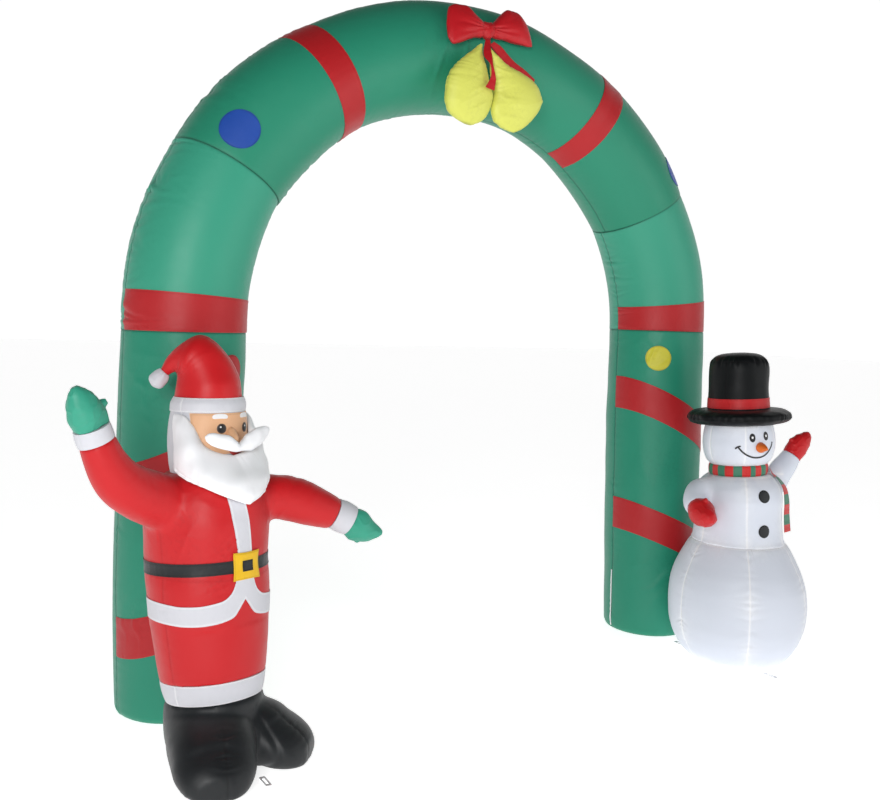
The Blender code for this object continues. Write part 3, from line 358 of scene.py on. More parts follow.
class Form:
    """A filled length of cloth. ring gives its middle and two half axes at a station, folds its relief."""

    def __init__(self, ring, folds=plain, holder=None):
        self.ring = ring
        self.folds = folds
        self.holder = np.array(Matrix.Translation(FOOTPRINT_SHIFT) if holder is None else holder)

    def base(self, along, around):
        middle, first, second = self.ring(along)
        return middle + first * np.cos(around)[..., None] + second * np.sin(around)[..., None]

    def points(self, along, around, lift=0.0):
        """Points of the surface in the row frame, and the relief there."""
        along, around = np.broadcast_arrays(np.asarray(along, float), np.asarray(around, float))
        middle, first, second = self.ring(along)
        wide = np.sum(first * first, -1, keepdims=True)
        deep = np.sum(second * second, -1, keepdims=True)
        across = first * np.cos(around)[..., None]
        up = second * np.sin(around)[..., None]
        spots = middle + across + up
        way = across / wide + up / deep
        way = way / np.maximum(np.linalg.norm(way, axis=-1, keepdims=True), 1e-9)
        relief = self.folds(along, around, spots)
        return moved(spots + way * (relief.height + lift)[..., None], self.holder), relief


def tube_mesh(name, form, stations, columns, lift=0.0):
    """The closed cloth of a whole form, with a cap of shrinking rings on both ends."""
    along, around = np.meshgrid(stations, columns, indexing="ij")
    points, relief = form.points(along, around, lift)
    shares = (0.12, 0.45, 0.78)
    low, high = points[0].mean(0), points[-1].mean(0)
    start = [low + (points[0] - low) * share for share in shares]
    end = [high + (points[-1] - high) * share for share in reversed(shares)]
    points = np.concatenate([start, points, end])
    rings, count = points.shape[:2]

    corners = points.reshape(-1, 3)
    index = np.arange(rings * count).reshape(rings, count)
    right = np.roll(index, -1, axis=1)
    quads = cells(np.concatenate([index, index[:, :1]], 1))
    girth = np.linalg.norm(np.diff(np.concatenate([points, points[:, :1]], 1), axis=1), axis=-1)
    across = np.concatenate([np.zeros((rings, 1)), np.cumsum(girth, 1)], 1)
    across = across.mean(0)[None, :] + np.zeros((rings, 1))
    run = lengths(points.mean(1))
    up = run[:, None] + np.zeros((1, count + 1))
    quad_uv = cells(np.stack([across, up], -1))

    first, last = len(corners), len(corners) + 1
    corners = np.concatenate([corners, [low, high]])
    below = np.stack([right[0], index[0], np.full(count, first)], -1)
    above = np.stack([index[-1], right[-1], np.full(count, last)], -1)
    fans = np.concatenate([below, above])
    fan_uv = np.zeros((len(fans), 3, 2))
    fan_uv[:, :, 0] = np.tile(across[0, :-1], 2)[:, None]

    def spread(values):
        edge = np.concatenate([np.repeat(values[:1], 3, 0), values, np.repeat(values[-1:], 3, 0)])
        return np.concatenate([edge.reshape(-1), [0.0, 0.0]])

    marks = {"seam": spread(relief.seam), "pull": spread(relief.pull)}
    return sewn(name, corners, [quads, fans], [quad_uv, fan_uv], marks)


# the corners of a face in another order
BACK_TO_FRONT = [0, 3, 2, 1]
OTHER_WAY = [1, 0, 3, 2]


def cells(grid):
    """The four corners of each cell of a grid, the cells in one row after the other."""
    four = np.stack([grid[:-1, :-1], grid[:-1, 1:], grid[1:, 1:], grid[1:, :-1]], 2)
    return four.reshape(-1, 4, *grid.shape[2:])


def panel_cells(front, back, closed):
    """The four corners of each face of a panel: its front, its back and the edges between them."""
    def edge(first, second):
        return np.stack([first[:-1], first[1:], second[1:], second[:-1]], 1)

    groups = [cells(front), cells(back)[:, BACK_TO_FRONT], edge(front[0], back[0])[:, OTHER_WAY],
              edge(front[-1], back[-1])]
    if not closed:
        groups += [edge(front[:, 0], back[:, 0]), edge(front[:, -1], back[:, -1])[:, OTHER_WAY]]
    return groups


def patch_mesh(name, form, along, around, lift=0.0009, thick=CLOTH, closed=False):
    """A sewn panel with its thickness, at a grid of places on a form. A closed one goes all the way round."""
    along, around = np.broadcast_arrays(np.asarray(along, float), np.asarray(around, float))
    outer, relief = form.points(along, around, lift + thick)
    inner, _ = form.points(along, around, lift)
    rows, columns = along.shape
    index = np.arange(rows * columns).reshape(rows, columns)
    if closed:
        index = np.concatenate([index, index[:, :1]], 1)
    under = index + rows * columns
    faces = panel_cells(index, under, closed)
    round_outer = np.concatenate([outer, outer[:, :1]], 1) if closed else outer
    across = np.linalg.norm(np.diff(round_outer, axis=1), axis=-1).mean(0)
    up = np.linalg.norm(np.diff(outer, axis=0), axis=-1).mean(1)
    u, v = np.meshgrid(np.concatenate([[0], np.cumsum(across)]), np.concatenate([[0], np.cumsum(up)]))
    flat = np.stack([u, v], -1)
    maps = panel_cells(flat, flat, closed)
    # the line of stitches beside the edge
    edge = np.minimum(v, v[-1, -1] - v)
    if not closed:
        edge = np.minimum(edge, np.minimum(u, u[-1, -1] - u))
    edge = edge[:, :columns]
    near = np.exp(-((np.maximum(edge - 0.003, 0) / 0.0016) ** 2)) * (edge > 0.0005)
    marks = {
        "seam": np.concatenate([near.reshape(-1)] * 2),
        "pull": np.concatenate([np.maximum(relief.pull, np.exp(-edge / 0.02) * 0.5).reshape(-1)] * 2),
    }
    corners = np.concatenate([outer.reshape(-1, 3), inner.reshape(-1, 3)])
    return sewn(name, corners, faces, maps, marks)


def placed(name, data):
    """A new object in the scene."""
    item = bpy.data.objects.new(name, data)
    bpy.context.scene.collection.objects.link(item)
    return item


def sewn(name, corners, faces, maps, marks):
    """An object from corners, groups of faces and their places on the flat cloth in metres."""
    flat = [face for group in faces for face in group.tolist()]
    uv = np.concatenate([group.reshape(-1, 2) for group in maps])
    inside = 0.0
    for group in faces:
        for k in range(1, group.shape[1] - 1):
            a, b, c = corners[group[:, 0]], corners[group[:, k]], corners[group[:, k + 1]]
            inside += float(np.sum(a * np.cross(b, c)))
    mesh = bpy.data.meshes.new(name)
    mesh.from_pydata(corners.tolist(), [], flat)
    mesh.uv_layers.new(name="cloth").data.foreach_set("uv", uv.astype(np.float32).ravel())
    for mark, values in marks.items():
        own = mesh.attributes.new(mark, "FLOAT", "POINT")
        own.data.foreach_set("value", values.astype(np.float32).ravel())
    if inside < 0:
        mesh.flip_normals()
    mesh.shade_smooth()
    mesh.set_sharp_from_angle(angle=radians(55))
    return placed(name, mesh)


def meet(form, around, start, point, normal):
    """The station where a form's surface meets a plane, for each turn round it."""
    point, normal = np.asarray(point, float), np.asarray(normal, float)
    along = np.full_like(around, start)
    for _ in range(14):
        here = (form.base(along, around) - point) @ normal
        ahead = (form.base(along + 0.0005, around) - point) @ normal
        along = along - here / ((ahead - here) / 0.0005)
    return along


def disc_grid(half_wide, half_tall, count=25):
    """Places over an oval, as offsets across and up from its middle, in rows and columns."""
    edge = np.sin(np.linspace(-1, 1, count) * pi / 2)
    x, y = np.meshgrid(edge, edge)
    return x * np.sqrt(1 - y * y / 2) * half_wide, y * np.sqrt(1 - x * x / 2) * half_tall


def pinned(form, along, around, across, up):
    """Stations and turns on a form for offsets in metres in the plane that touches it at one place."""
    along, around = float(along), float(around)
    one = np.array([0.0])
    centre = form.base(one + along, one + around)[0]
    ahead = form.base(one + along + 0.001, one + around)[0] - centre
    side = form.base(one + along, one + around + 0.001)[0] - centre
    ahead, side = unit(ahead), unit(side)
    ahead = unit(ahead - side * (ahead @ side))
    a, t = np.full_like(across, along), np.full_like(across, around)
    for _ in range(16):
        here = form.base(a, t) - centre
        on_a = (form.base(a + 0.0005, t) - centre - here) / 0.0005
        on_t = (form.base(a, t + 0.0005) - centre - here) / 0.0005
        miss_side, miss_ahead = here @ side - across, here @ ahead - up
        sa, st, ua, ut = on_a @ side, on_t @ side, on_a @ ahead, on_t @ ahead
        whole = sa * ut - st * ua
        a = a - (miss_side * ut - miss_ahead * st) / whole
        t = t - (miss_ahead * sa - miss_side * ua) / whole
    return a, t


# ---------------------------------------------------------------- joining and finishing pieces

def settle(item):
    """Applies what stands on an object, so that its mesh is final."""
    graph = bpy.context.evaluated_depsgraph_get()
    mesh = bpy.data.meshes.new_from_object(item.evaluated_get(graph))
    old = item.data
    item.modifiers.clear()
    item.data = mesh
    bpy.data.meshes.remove(old)


def carve(item, tool):
    """Cuts away what lies inside another closed piece, which then goes."""
    cut = item.modifiers.new("cut", "BOOLEAN")
    cut.operation = "DIFFERENCE"
    cut.solver = "EXACT"
    cut.object = tool
    settle(item)
    bpy.data.objects.remove(tool, do_unlink=True)
    return item


def corner_values(mesh, kind):
    """The places or the normals of a mesh's corners."""
    values = np.zeros(len(mesh.vertices) * 3, np.float32)
    mesh.vertices.foreach_get(kind, values)
    return values.reshape(-1, 3).astype(float)


def worked(item, heights, flat_floor=False):
    """Moves each corner out by its height, and lays the cloth out flat again for its weave."""
    mesh = item.data
    spots, ways = corner_values(mesh, "co"), corner_values(mesh, "normal")
    relief = heights(spots)
    spots = spots + ways * relief.height[:, None]
    if flat_floor:
        spots[:, 2] = np.maximum(spots[:, 2], 0.0)
    mesh.vertices.foreach_set("co", spots.astype(np.float32).ravel())
    for mark, values in (("seam", relief.seam), ("pull", relief.pull)):
        layer = mesh.attributes.get(mark) or mesh.attributes.new(mark, "FLOAT", "POINT")
        layer.data.foreach_set("value", values.astype(np.float32))
    corners = np.zeros(len(mesh.loops), np.int32)
    mesh.loops.foreach_get("vertex_index", corners)
    flat = np.stack([spots[:, 0] * 0.8 + spots[:, 1] * 0.6, spots[:, 2]], -1)[corners]
    layer = mesh.uv_layers.get("cloth") or mesh.uv_layers.new(name="cloth")
    layer.data.foreach_set("uv", flat.astype(np.float32).ravel())
    mesh.update()


def finished(item, cloth, *nodes):
    """The last steps of a piece: its cloth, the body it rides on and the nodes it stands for."""
    item.data.materials.clear()
    item.data.materials.append(material(cloth))
    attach(item, "root")
    if nodes:
        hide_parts(*nodes)


# ---------------------------------------------------------------- materials

class Wire:
    """One output of a material's nodes. Sums on it add the Math nodes that work them out."""

    def __init__(self, recipe, socket):
        self.recipe = recipe
        self.socket = socket

    def maths(self, operation, first, second=None):
        values = {0: first} if second is None else {0: first, 1: second}
        return self.recipe.node("ShaderNodeMath", {"operation": operation}, values)

    def __add__(self, other):
        return self.maths("ADD", self, other)

    __radd__ = __add__

    def __sub__(self, other):
        return self.maths("SUBTRACT", self, other)

    def __rsub__(self, other):
        return self.maths("SUBTRACT", other, self)

    def __mul__(self, other):
        return self.maths("MULTIPLY", self, other)

    __rmul__ = __mul__

    def __gt__(self, other):
        return self.maths("GREATER_THAN", self, other)

    def sine(self):
        return self.maths("SINE", self)

    def part(self):
        return self.maths("FRACT", self)


class Recipe:
    """A material that is put together node by node."""

    def __init__(self, name):
        self.material = bpy.data.materials.new(name)
        self.material.use_nodes = True
        self.tree = self.material.node_tree
        self.shader = self.tree.nodes["Principled BSDF"]

    def node(self, kind, settings=None, values=None, output=0):
        """Adds a node: its settings first, then the values or links of its sockets."""
        made = self.tree.nodes.new(kind)
        for name, value in (settings or {}).items():
            setattr(made, name, value)
        for name, value in (values or {}).items():
            self.fill(made.inputs[name], value)
        return Wire(self, made.outputs[output])

    def fill(self, socket, value):
        if isinstance(value, Wire):
            self.tree.links.new(value.socket, socket)
        elif isinstance(value, tuple) and len(value) == 3 and socket.type == "RGBA":
            socket.default_value = (*value, 1.0)
        else:
            socket.default_value = value

    def mix(self, first, second, share):
        """A colour between two."""
        return self.node("ShaderNodeMix", {"data_type": "RGBA"}, {0: share, 6: first, 7: second}, output=2)

    def places(self):
        """The place on the flat cloth, in metres: across, then along."""
        flat = self.node("ShaderNodeUVMap", {"uv_map": "cloth"})
        split = self.node("ShaderNodeSeparateXYZ", None, {0: flat})
        return split, Wire(self, split.socket.node.outputs[1])

    def noise(self, scale, detail):
        where = self.node("ShaderNodeTexCoord", output=3)
        return self.node("ShaderNodeTexNoise", None, {"Vector": where, "Scale": scale, "Detail": detail})

    def mark(self, name):
        return self.node("ShaderNodeAttribute", {"attribute_name": name}, output=2)

    def set(self, **values):
        for name, value in values.items():
            self.fill(self.shader.inputs[name.replace("_", " ")], value)

    def bump(self, strength, height):
        return self.node("ShaderNodeBump", None, {"Strength": strength, "Distance": 1.0, "Height": height})


def deeper(colour, share):
    return tuple(channel * share for channel in colour)


WEAVE_PITCH = 0.0016
STITCH_PITCH = 0.0055


def coated_nylon(name, colour, seam, pattern=None, cloudy=0.10, lit=None, shine=0.34):
    """Satin coated nylon: a plain weave, soft clouds, small crinkles by the seams and stitched seam lines.

    seam is the colour of the seam lines: darker on coloured cloth, and on the pale trim and snow cloth
    lighter, a painted light shining through the seams. lit is a painted tone near the seams: on the snowman's
    cloth a painted light, on the beard a faint painted shade. The crinkles by the seams are darkened as
    painted shade.
    """
    recipe = Recipe(name)
    across, along = recipe.places()
    weave = (across * (2 * pi / WEAVE_PITCH)).sine() * (along * (2 * pi / WEAVE_PITCH)).sine()
    clouds = recipe.noise(2.6, 3.0)
    fine = recipe.noise(34.0, 3.0)
    crinkle = recipe.noise(75.0, 4.0)
    pull = recipe.mark("pull")
    line = recipe.mark("seam")
    dashes = ((across + along) * (2 * pi / STITCH_PITCH)).sine() > -0.25

    ground = pattern(recipe, across, along) if pattern else colour
    darker = recipe.mix(ground, deeper(colour, 0.55 if pattern else 0.62), clouds * cloudy * 2)
    # painted shade: the cloth is darkened in the crinkles near its seams
    tone = recipe.mix(darker, deeper(colour, 0.72), (crinkle > 0.56) * pull * 0.22)
    # painted light: a pale cloth turns paler near its seams, as if light shone through (on the beard a faint
    # painted shade)
    if lit:
        tone = recipe.mix(tone, lit, pull * 0.55)
    stitched = recipe.mix(tone, seam, line * (0.55 + 0.35 * dashes))
    height = (
        weave * 0.00006
        + (fine - 0.5) * 0.0009
        + (crinkle - 0.5) * pull * 0.0022
        - line * 0.0006
        + line * dashes * 0.0004
    )
    rough = 0.44 + (fine - 0.5) * 0.16 + line * 0.12
    recipe.set(Base_Color=stitched, Roughness=rough, Metallic=0.0, Normal=recipe.bump(0.55, height))
    recipe.set(Sheen_Weight=0.15 * shine, Sheen_Roughness=0.45, Specular_IOR_Level=shine)
    return recipe.material


SCARF_RED, SCARF_GREEN = (0.60, 0.022, 0.020), (0.035, 0.200, 0.120)


def scarf_patches(recipe, across, _along):
    """Red and green patches, one after the other round the scarf."""
    return recipe.mix(SCARF_RED, SCARF_GREEN, ((across + 0.004) * (1 / 0.0566)).part() > 0.5)


def tail_patches(recipe, _across, along):
    """Red and green patches down the hanging end."""
    return recipe.mix(SCARF_RED, SCARF_GREEN, (along * (1 / 0.0766)).part() > 0.5)


def printed(name, colour):
    """Smooth printed film, a little uneven in tone, for eyes, brows and mouths."""
    recipe = Recipe(name)
    soft = recipe.noise(160.0, 2.0)
    tone = recipe.mix(colour, deeper(colour, 0.7), soft * 0.35)
    recipe.set(Base_Color=tone, Roughness=0.40 + (soft - 0.5) * 0.2, Metallic=0.0,
               Normal=recipe.bump(0.3, soft * 0.0004))
    return recipe.material


def webbing(name, colour):
    """Woven webbing with ribs across it."""
    recipe = Recipe(name)
    across, along = recipe.places()
    ribs = (along * (2 * pi / 0.0022)).sine() * 0.5 + 0.5
    threads = (across * (2 * pi / 0.0018)).sine() * 0.5 + 0.5
    worn = recipe.noise(120.0, 3.0)
    tone = recipe.mix(colour, deeper(colour, 0.78), worn * 0.5)
    recipe.set(Base_Color=tone, Roughness=0.62 + (ribs - 0.5) * 0.2, Metallic=0.0,
               Normal=recipe.bump(0.8, (ribs + threads) * 0.0001))
    return recipe.material


def pale_floor(name, tone, glow):
    """A pale, slightly uneven floor that is lit a little from below."""
    recipe = Recipe(name)
    soft = recipe.noise(1.4, 4.0)
    level = recipe.mix((tone, tone, tone), (tone * 0.97, tone * 0.97, tone * 0.975), soft)
    recipe.set(Base_Color=level, Roughness=0.75 + (soft - 0.5) * 0.1, Metallic=0.0)
    recipe.set(Emission_Color=(1.0, 1.0, 1.0), Emission_Strength=glow)
    return recipe.material


NYLONS = {
    # colour in the sidebar or a colour, share of it, and what else the cloth takes
    # one green cloth in three copies: the haunches painted lighter as painted light, the crown a touch darker
    # as painted shade
    "leg green nylon": ("leg_green", 1, {"seam_share": 0.35}),
    "haunch green nylon": ("haunch_green", 1, {"seam_share": 0.35}),
    "crown green nylon": ("crown_green", 1, {"seam_share": 0.35}),
    "band red nylon": ("band_red", 1, {"seam_share": 0.55}),
    "bow red nylon": ("bow_red", 1, {"seam_share": 0.5}),
    "bell yellow nylon": ("bell_yellow", 1, {"seam_share": 0.7}),
    "dot blue nylon": ("dot_blue", 1, {"seam_share": 0.6}),
    "dot yellow nylon": ("dot_yellow", 1, {"seam_share": 0.6}),
    "suit red nylon": ("suit_red", 1, {"seam_share": 0.80}),
    # the lighter seam lines and lit tones of the white cloths are painted light shining through at the seams
    "trim white nylon": ("trim_white", 1, {"seam": (0.86, 0.86, 0.88), "cloudy": 0.05}),
    "snow white nylon": ("snow_white", 1, {
        "seam": (0.95, 0.95, 0.97), "cloudy": 0.05, "lit": (0.93, 0.94, 0.96)}),
    "beard white nylon": ("beard_white", 1, {
        "seam": (0.92, 0.92, 0.94), "cloudy": 0.05, "lit": (0.90, 0.91, 0.93)}),
    "boot black nylon": ("boot_black", 1, {"seam": (0.004, 0.004, 0.005)}),
    # painted shade: the snowman's hat takes the boots' black darkened to 0.4, to make up for the light that
    # falls on it
    "hat black nylon": ("boot_black", 0.4, {"seam": (0.003, 0.003, 0.004), "shine": 0.14}),
    "skin nylon": ("skin", 1, {"seam_share": 0.8, "cloudy": 0.06}),
    "mitten green nylon": ("mitten_green", 1, {"seam_share": 0.5}),
    "buckle yellow nylon": ("buckle_yellow", 1, {"seam_share": 0.7, "cloudy": 0.05}),
    "nose orange nylon": ("nose_orange", 1, {"seam_share": 0.6}),
    "scarf nylon": ((0.45, 0.03, 0.03), 1, {
        "seam": (0.30, 0.28, 0.26), "pattern": scarf_patches, "cloudy": 0.04}),
    "scarf end nylon": ((0.45, 0.03, 0.03), 1, {
        "seam": (0.10, 0.05, 0.04), "pattern": tail_patches, "cloudy": 0.04}),
}
PRINTS = {
    "printed black": (0.008, 0.008, 0.010),
    "printed brown": (0.085, 0.060, 0.050),
    "printed white": (0.90, 0.90, 0.91),
    "printed red": (0.50, 0.025, 0.020),
}


def material(name):
    """The material of that name, made from the colours in the sidebar the first time it is asked for."""
    known = bpy.data.materials.get(name)
    if known:
        return known
    studio = bpy.context.scene.arch_studio
    if name == "pale floor":
        return pale_floor(name, studio.floor_tone, studio.floor_glow)
    if name in PRINTS:
        return printed(name, PRINTS[name])
    if name == "white webbing":
        return webbing(name, (0.93, 0.94, 0.95))
    chosen, share, more = NYLONS[name]
    colours = bpy.context.scene.arch_colours
    tone = deeper(getattr(colours, chosen), share) if isinstance(chosen, str) else chosen
    more = dict(more)
    seam = more.pop("seam", None) or deeper(tone, more.pop("seam_share"))
    return coated_nylon(name, tone, seam, **more)


# ---------------------------------------------------------------- what a user may change

def amount(name, description, default, **more):
    return FloatProperty(name=name, description=description, default=default, min=0.0, **more)


def length(name, description, default):
    return amount(name, description, default, unit="LENGTH", precision=4)


def colour(name, description, default):
    return FloatVectorProperty(
        name=name, description=description, default=default, size=3, min=0.0, max=1.0, subtype="COLOR")


class ArchSizes(bpy.types.PropertyGroup):
    seam_dip: length("Seam dip", "How deep the cloth dips to a seam", 0.0014)
    seam_draw: length("Seam draw", "How far a filled length is drawn in where it is sewn to the next", 0.0013)
    gather: length("Gathers", "Height of the small gathers beside a seam", 0.0026)
    gather_pitch: length("Gather pitch", "Distance from one gather to the next", 0.030)
    swell: length("Swells", "Height of the soft swells in the filled cloth", 0.0026)
    panel_lift: length("Panel lift", "How far a sewn panel lies off the cloth under it", 0.0008)
    tube_step: length("Tube step", "Distance between the corners of the arch's cloth", 0.0085)
    figure_step: length("Figure step", "Distance between the corners of the figures' cloth", 0.0055)


class ArchColours(bpy.types.PropertyGroup):
    # The arch is one green cloth: the haunch colour is painted lighter as painted light, the crown colour a
    # touch darker as painted shade.
    leg_green: colour("Leg green", "Cloth of both legs", (0.017, 0.255, 0.158))
    haunch_green: colour("Haunch green", "Cloth of the first curved lengths", (0.040, 0.330, 0.215))
    crown_green: colour("Crown green", "Cloth of the crown", (0.020, 0.250, 0.150))
    band_red: colour("Band red", "The bands of the arch", (0.450, 0.012, 0.016))
    bow_red: colour("Bow red", "Bow and ribbons", (0.510, 0.008, 0.014))
    bell_yellow: colour("Bell yellow", "Both bells", (0.700, 0.720, 0.130))
    dot_blue: colour("Dot blue", "The two blue patches", (0.014, 0.070, 0.370))
    dot_yellow: colour("Dot yellow", "The yellow patch", (0.620, 0.570, 0.045))
    suit_red: colour("Suit red", "Coat, trousers and hat, and the snowman's mittens", (0.580, 0.010, 0.014))
    trim_white: colour("Trim white", "White trim of the suit", (0.640, 0.645, 0.690))
    snow_white: colour("Snow white", "The snowman's cloth", (0.700, 0.740, 0.830))
    beard_white: colour("Beard white", "Beard and moustache", (0.930, 0.940, 0.965))
    boot_black: colour("Boot black", "Boots, belt and the snowman's hat", (0.0150, 0.0175, 0.0195))
    skin: colour("Skin", "Face and nose", (0.780, 0.450, 0.255))
    mitten_green: colour("Mitten green", "The green mittens", (0.040, 0.350, 0.235))
    buckle_yellow: colour("Buckle yellow", "The buckle", (0.830, 0.500, 0.010))
    nose_orange: colour("Nose orange", "The snowman's nose", (0.780, 0.160, 0.020))


class ArchStudio(bpy.types.PropertyGroup):
    floor_tone: amount("Floor tone", "How pale the floor is", 0.93, max=1.0)
    floor_glow: amount("Floor glow", "How much the floor is lit from below", 0.76)
    lens: amount("Lens", "Focal length", 40.909, unit="CAMERA")
    key_power: amount("Key light", "Power of the large front light", 134.0, unit="POWER")
    fill_power: amount("Fill light", "Power of the light at the right", 38.0, unit="POWER")
    sky: amount("Backdrop", "Brightness of the white backdrop", 1.02)
    room: amount("Room", "Brightness behind the camera", 0.26)
    ceiling: amount("Ceiling", "Brightness overhead", 0.04)


def sidebar_sizes():
    return bpy.context.scene.arch_sizes


# ---------------------------------------------------------------- arch

def quarter_curve():
    """Turns in radians from the spring to the top, and the length of the arch's axis up to each."""
    turn = np.linspace(0, pi / 2, 901)
    speed = np.hypot(HALF_SPAN * np.sin(turn), RISE * np.cos(turn))
    run = np.concatenate([[0], np.cumsum((speed[1:] + speed[:-1]) / 2 * np.diff(turn))])
    return turn, run


QUARTER_TURN, QUARTER_RUN = quarter_curve()
WHOLE_RUN = 2 * (SPRING_HEIGHT + float(QUARTER_RUN[-1]))


def run_at(turn):
    """Length of the axis from the foot up to a turn in degrees."""
    return SPRING_HEIGHT + float(np.interp(radians(turn), QUARTER_TURN, QUARTER_RUN))


def turn_of(run):
    """At a length from the left foot: the turn from the spring of that side, the side and the length from
    that side's own foot."""
    own = np.minimum(run, WHOLE_RUN - run)
    turn = np.interp(own - SPRING_HEIGHT, QUARTER_RUN, QUARTER_TURN)
    return turn, np.where(run < WHOLE_RUN / 2, -1.0, 1.0), own


def arch_ring(run, radius):
    """The ring of the tube at a length of the axis from the left foot: its front, then its outer side."""
    turn, side, own = turn_of(run)
    height = np.where(own < SPRING_HEIGHT, own, SPRING_HEIGHT + RISE * np.sin(turn))
    zero = np.zeros_like(height)
    middle = np.stack([side * HALF_SPAN * np.cos(turn), zero, height], -1)
    out = np.stack([side * RISE * np.cos(turn), zero, HALF_SPAN * np.sin(turn)], -1)
    return middle, np.array([0.0, -1.0, 0.0]) * radius[..., None], unit(out) * radius[..., None]


def drawn_in(gap):
    """How far a filled length is drawn in near the seam to the next one."""
    return sidebar_sizes().seam_draw * np.exp(-np.abs(gap) / 0.005)


def leg_form(side):
    heights, radii = zip(*FOOT_ROWS)

    def ring(own):
        radius = smooth(own, heights, radii) - drawn_in(LEG_SEAM[side] - own)
        return arch_ring(own if side < 0 else WHOLE_RUN - own, radius)

    def folds(own, around, spots):
        sizes = sidebar_sizes()
        relief = Relief(own).swell(spots, 0.42, sizes.swell, 11 + side)
        relief.swell(spots, 0.13, sizes.swell * 0.30, 21 + side)
        for seam, seed, tuck in ((OUTER_SEAM, 31, 1.0), (INNER_SEAM, 41, 0.9)):
            gap = TUBE_RADIUS * turn_gap(around, seam)
            relief.stitch(gap, own, seed + side, sizes.seam_dip, sizes.gather * tuck,
                          sizes.gather_pitch, 0.036)
        relief.stitch(LEG_SEAM[side] - own, around * TUBE_RADIUS, 51 + side, 0.0, 0.0009, 0.036, 0.022)
        relief.stitch(own, around * TUBE_RADIUS, 61 + side, 0.0, 0.0022, 0.045, 0.030)
        for point, normal in leg_cuts(side):
            gap = (spots - point) @ normal
            front = np.clip(np.cos(around) * 6 + 1, 0, 1)
            relief.pinch(gap, around * TUBE_RADIUS, front, 71 + side)
        for centre, size, depth, pitch, way in LEG_WRINKLES[side]:
            relief.wrinkle(spots, centre, size, depth, pitch, way, 81 + side)
        return relief

    return Form(ring, folds)


# middle, size, depth, pitch and way of the wrinkled places on each leg
LEG_WRINKLES = {
    -1: (
        ((-1.115, -0.157, 1.030), 0.090, 0.0080, 0.085, (1.0, 0.0, -0.10)),
        ((-1.080, -0.172, 0.930), 0.080, 0.0055, 0.080, (1.0, 0.0, 0.15)),
        ((-1.135, -0.140, 0.330), 0.080, 0.0055, 0.070, (0.5, 0.0, 0.85)),
    ),
    1: (
        ((0.960, -0.180, 0.255), 0.110, 0.0070, 0.090, (1.0, 0.0, 0.22)),
        ((0.870, -0.140, 1.150), 0.070, 0.0045, 0.070, (0.8, 0.0, 0.50)),
        ((0.930, -0.170, 0.700), 0.120, 0.0034, 0.100, (0.2, 0.0, 1.00)),
    ),
}


def leg_cuts(side):
    """The lower and the upper edge of each slanting band, as planes."""
    cuts = []
    for own_side, height, slope in LEG_BANDS.values():
        if own_side == side:
            normal = np.array([side * slope, 0.0, 1.0]) / hypot(slope, 1.0)
            for way in (-1, 1):
                middle = np.array([side * HALF_SPAN, 0, height])
                cuts.append((middle + normal * (way * BAND_WIDTH / 2), normal))
    return cuts


def haunch_form(side):
    low, high = LEG_SEAM[side], run_at(CROSS_SEAM[side])

    def ring(own):
        turn = np.interp(own - SPRING_HEIGHT, QUARTER_RUN, QUARTER_TURN)
        full = FULLNESS / 2 * np.sin(pi * np.clip(np.degrees(turn) / CROSS_SEAM[side], 0, 1))
        radius = TUBE_RADIUS + full - drawn_in(own - low) - drawn_in(high - own)
        return arch_ring(own if side < 0 else WHOLE_RUN - own, radius)

    def folds(own, around, spots):
        sizes = sidebar_sizes()
        relief = Relief(own).swell(spots, 0.40, sizes.swell, 111 + side)
        outer = 2.9 if side < 0 else 1.5
        gap = TUBE_RADIUS * turn_gap(around, OUTER_SEAM)
        relief.stitch(gap, own, 121 + side, sizes.seam_dip, sizes.gather * outer, sizes.gather_pitch, 0.062)
        gap = TUBE_RADIUS * turn_gap(around, INNER_SEAM)
        relief.stitch(gap, own, 131 + side, sizes.seam_dip, sizes.gather * 2.2,
                      sizes.gather_pitch * 1.2, 0.050)
        relief.stitch(own - low, around * TUBE_RADIUS, 141 + side, 0.0, 0.0009, 0.036, 0.022)
        relief.stitch(high - own, around * TUBE_RADIUS, 151 + side, 0.0, 0.0012, 0.034, 0.028)
        return relief

    return Form(ring, folds)


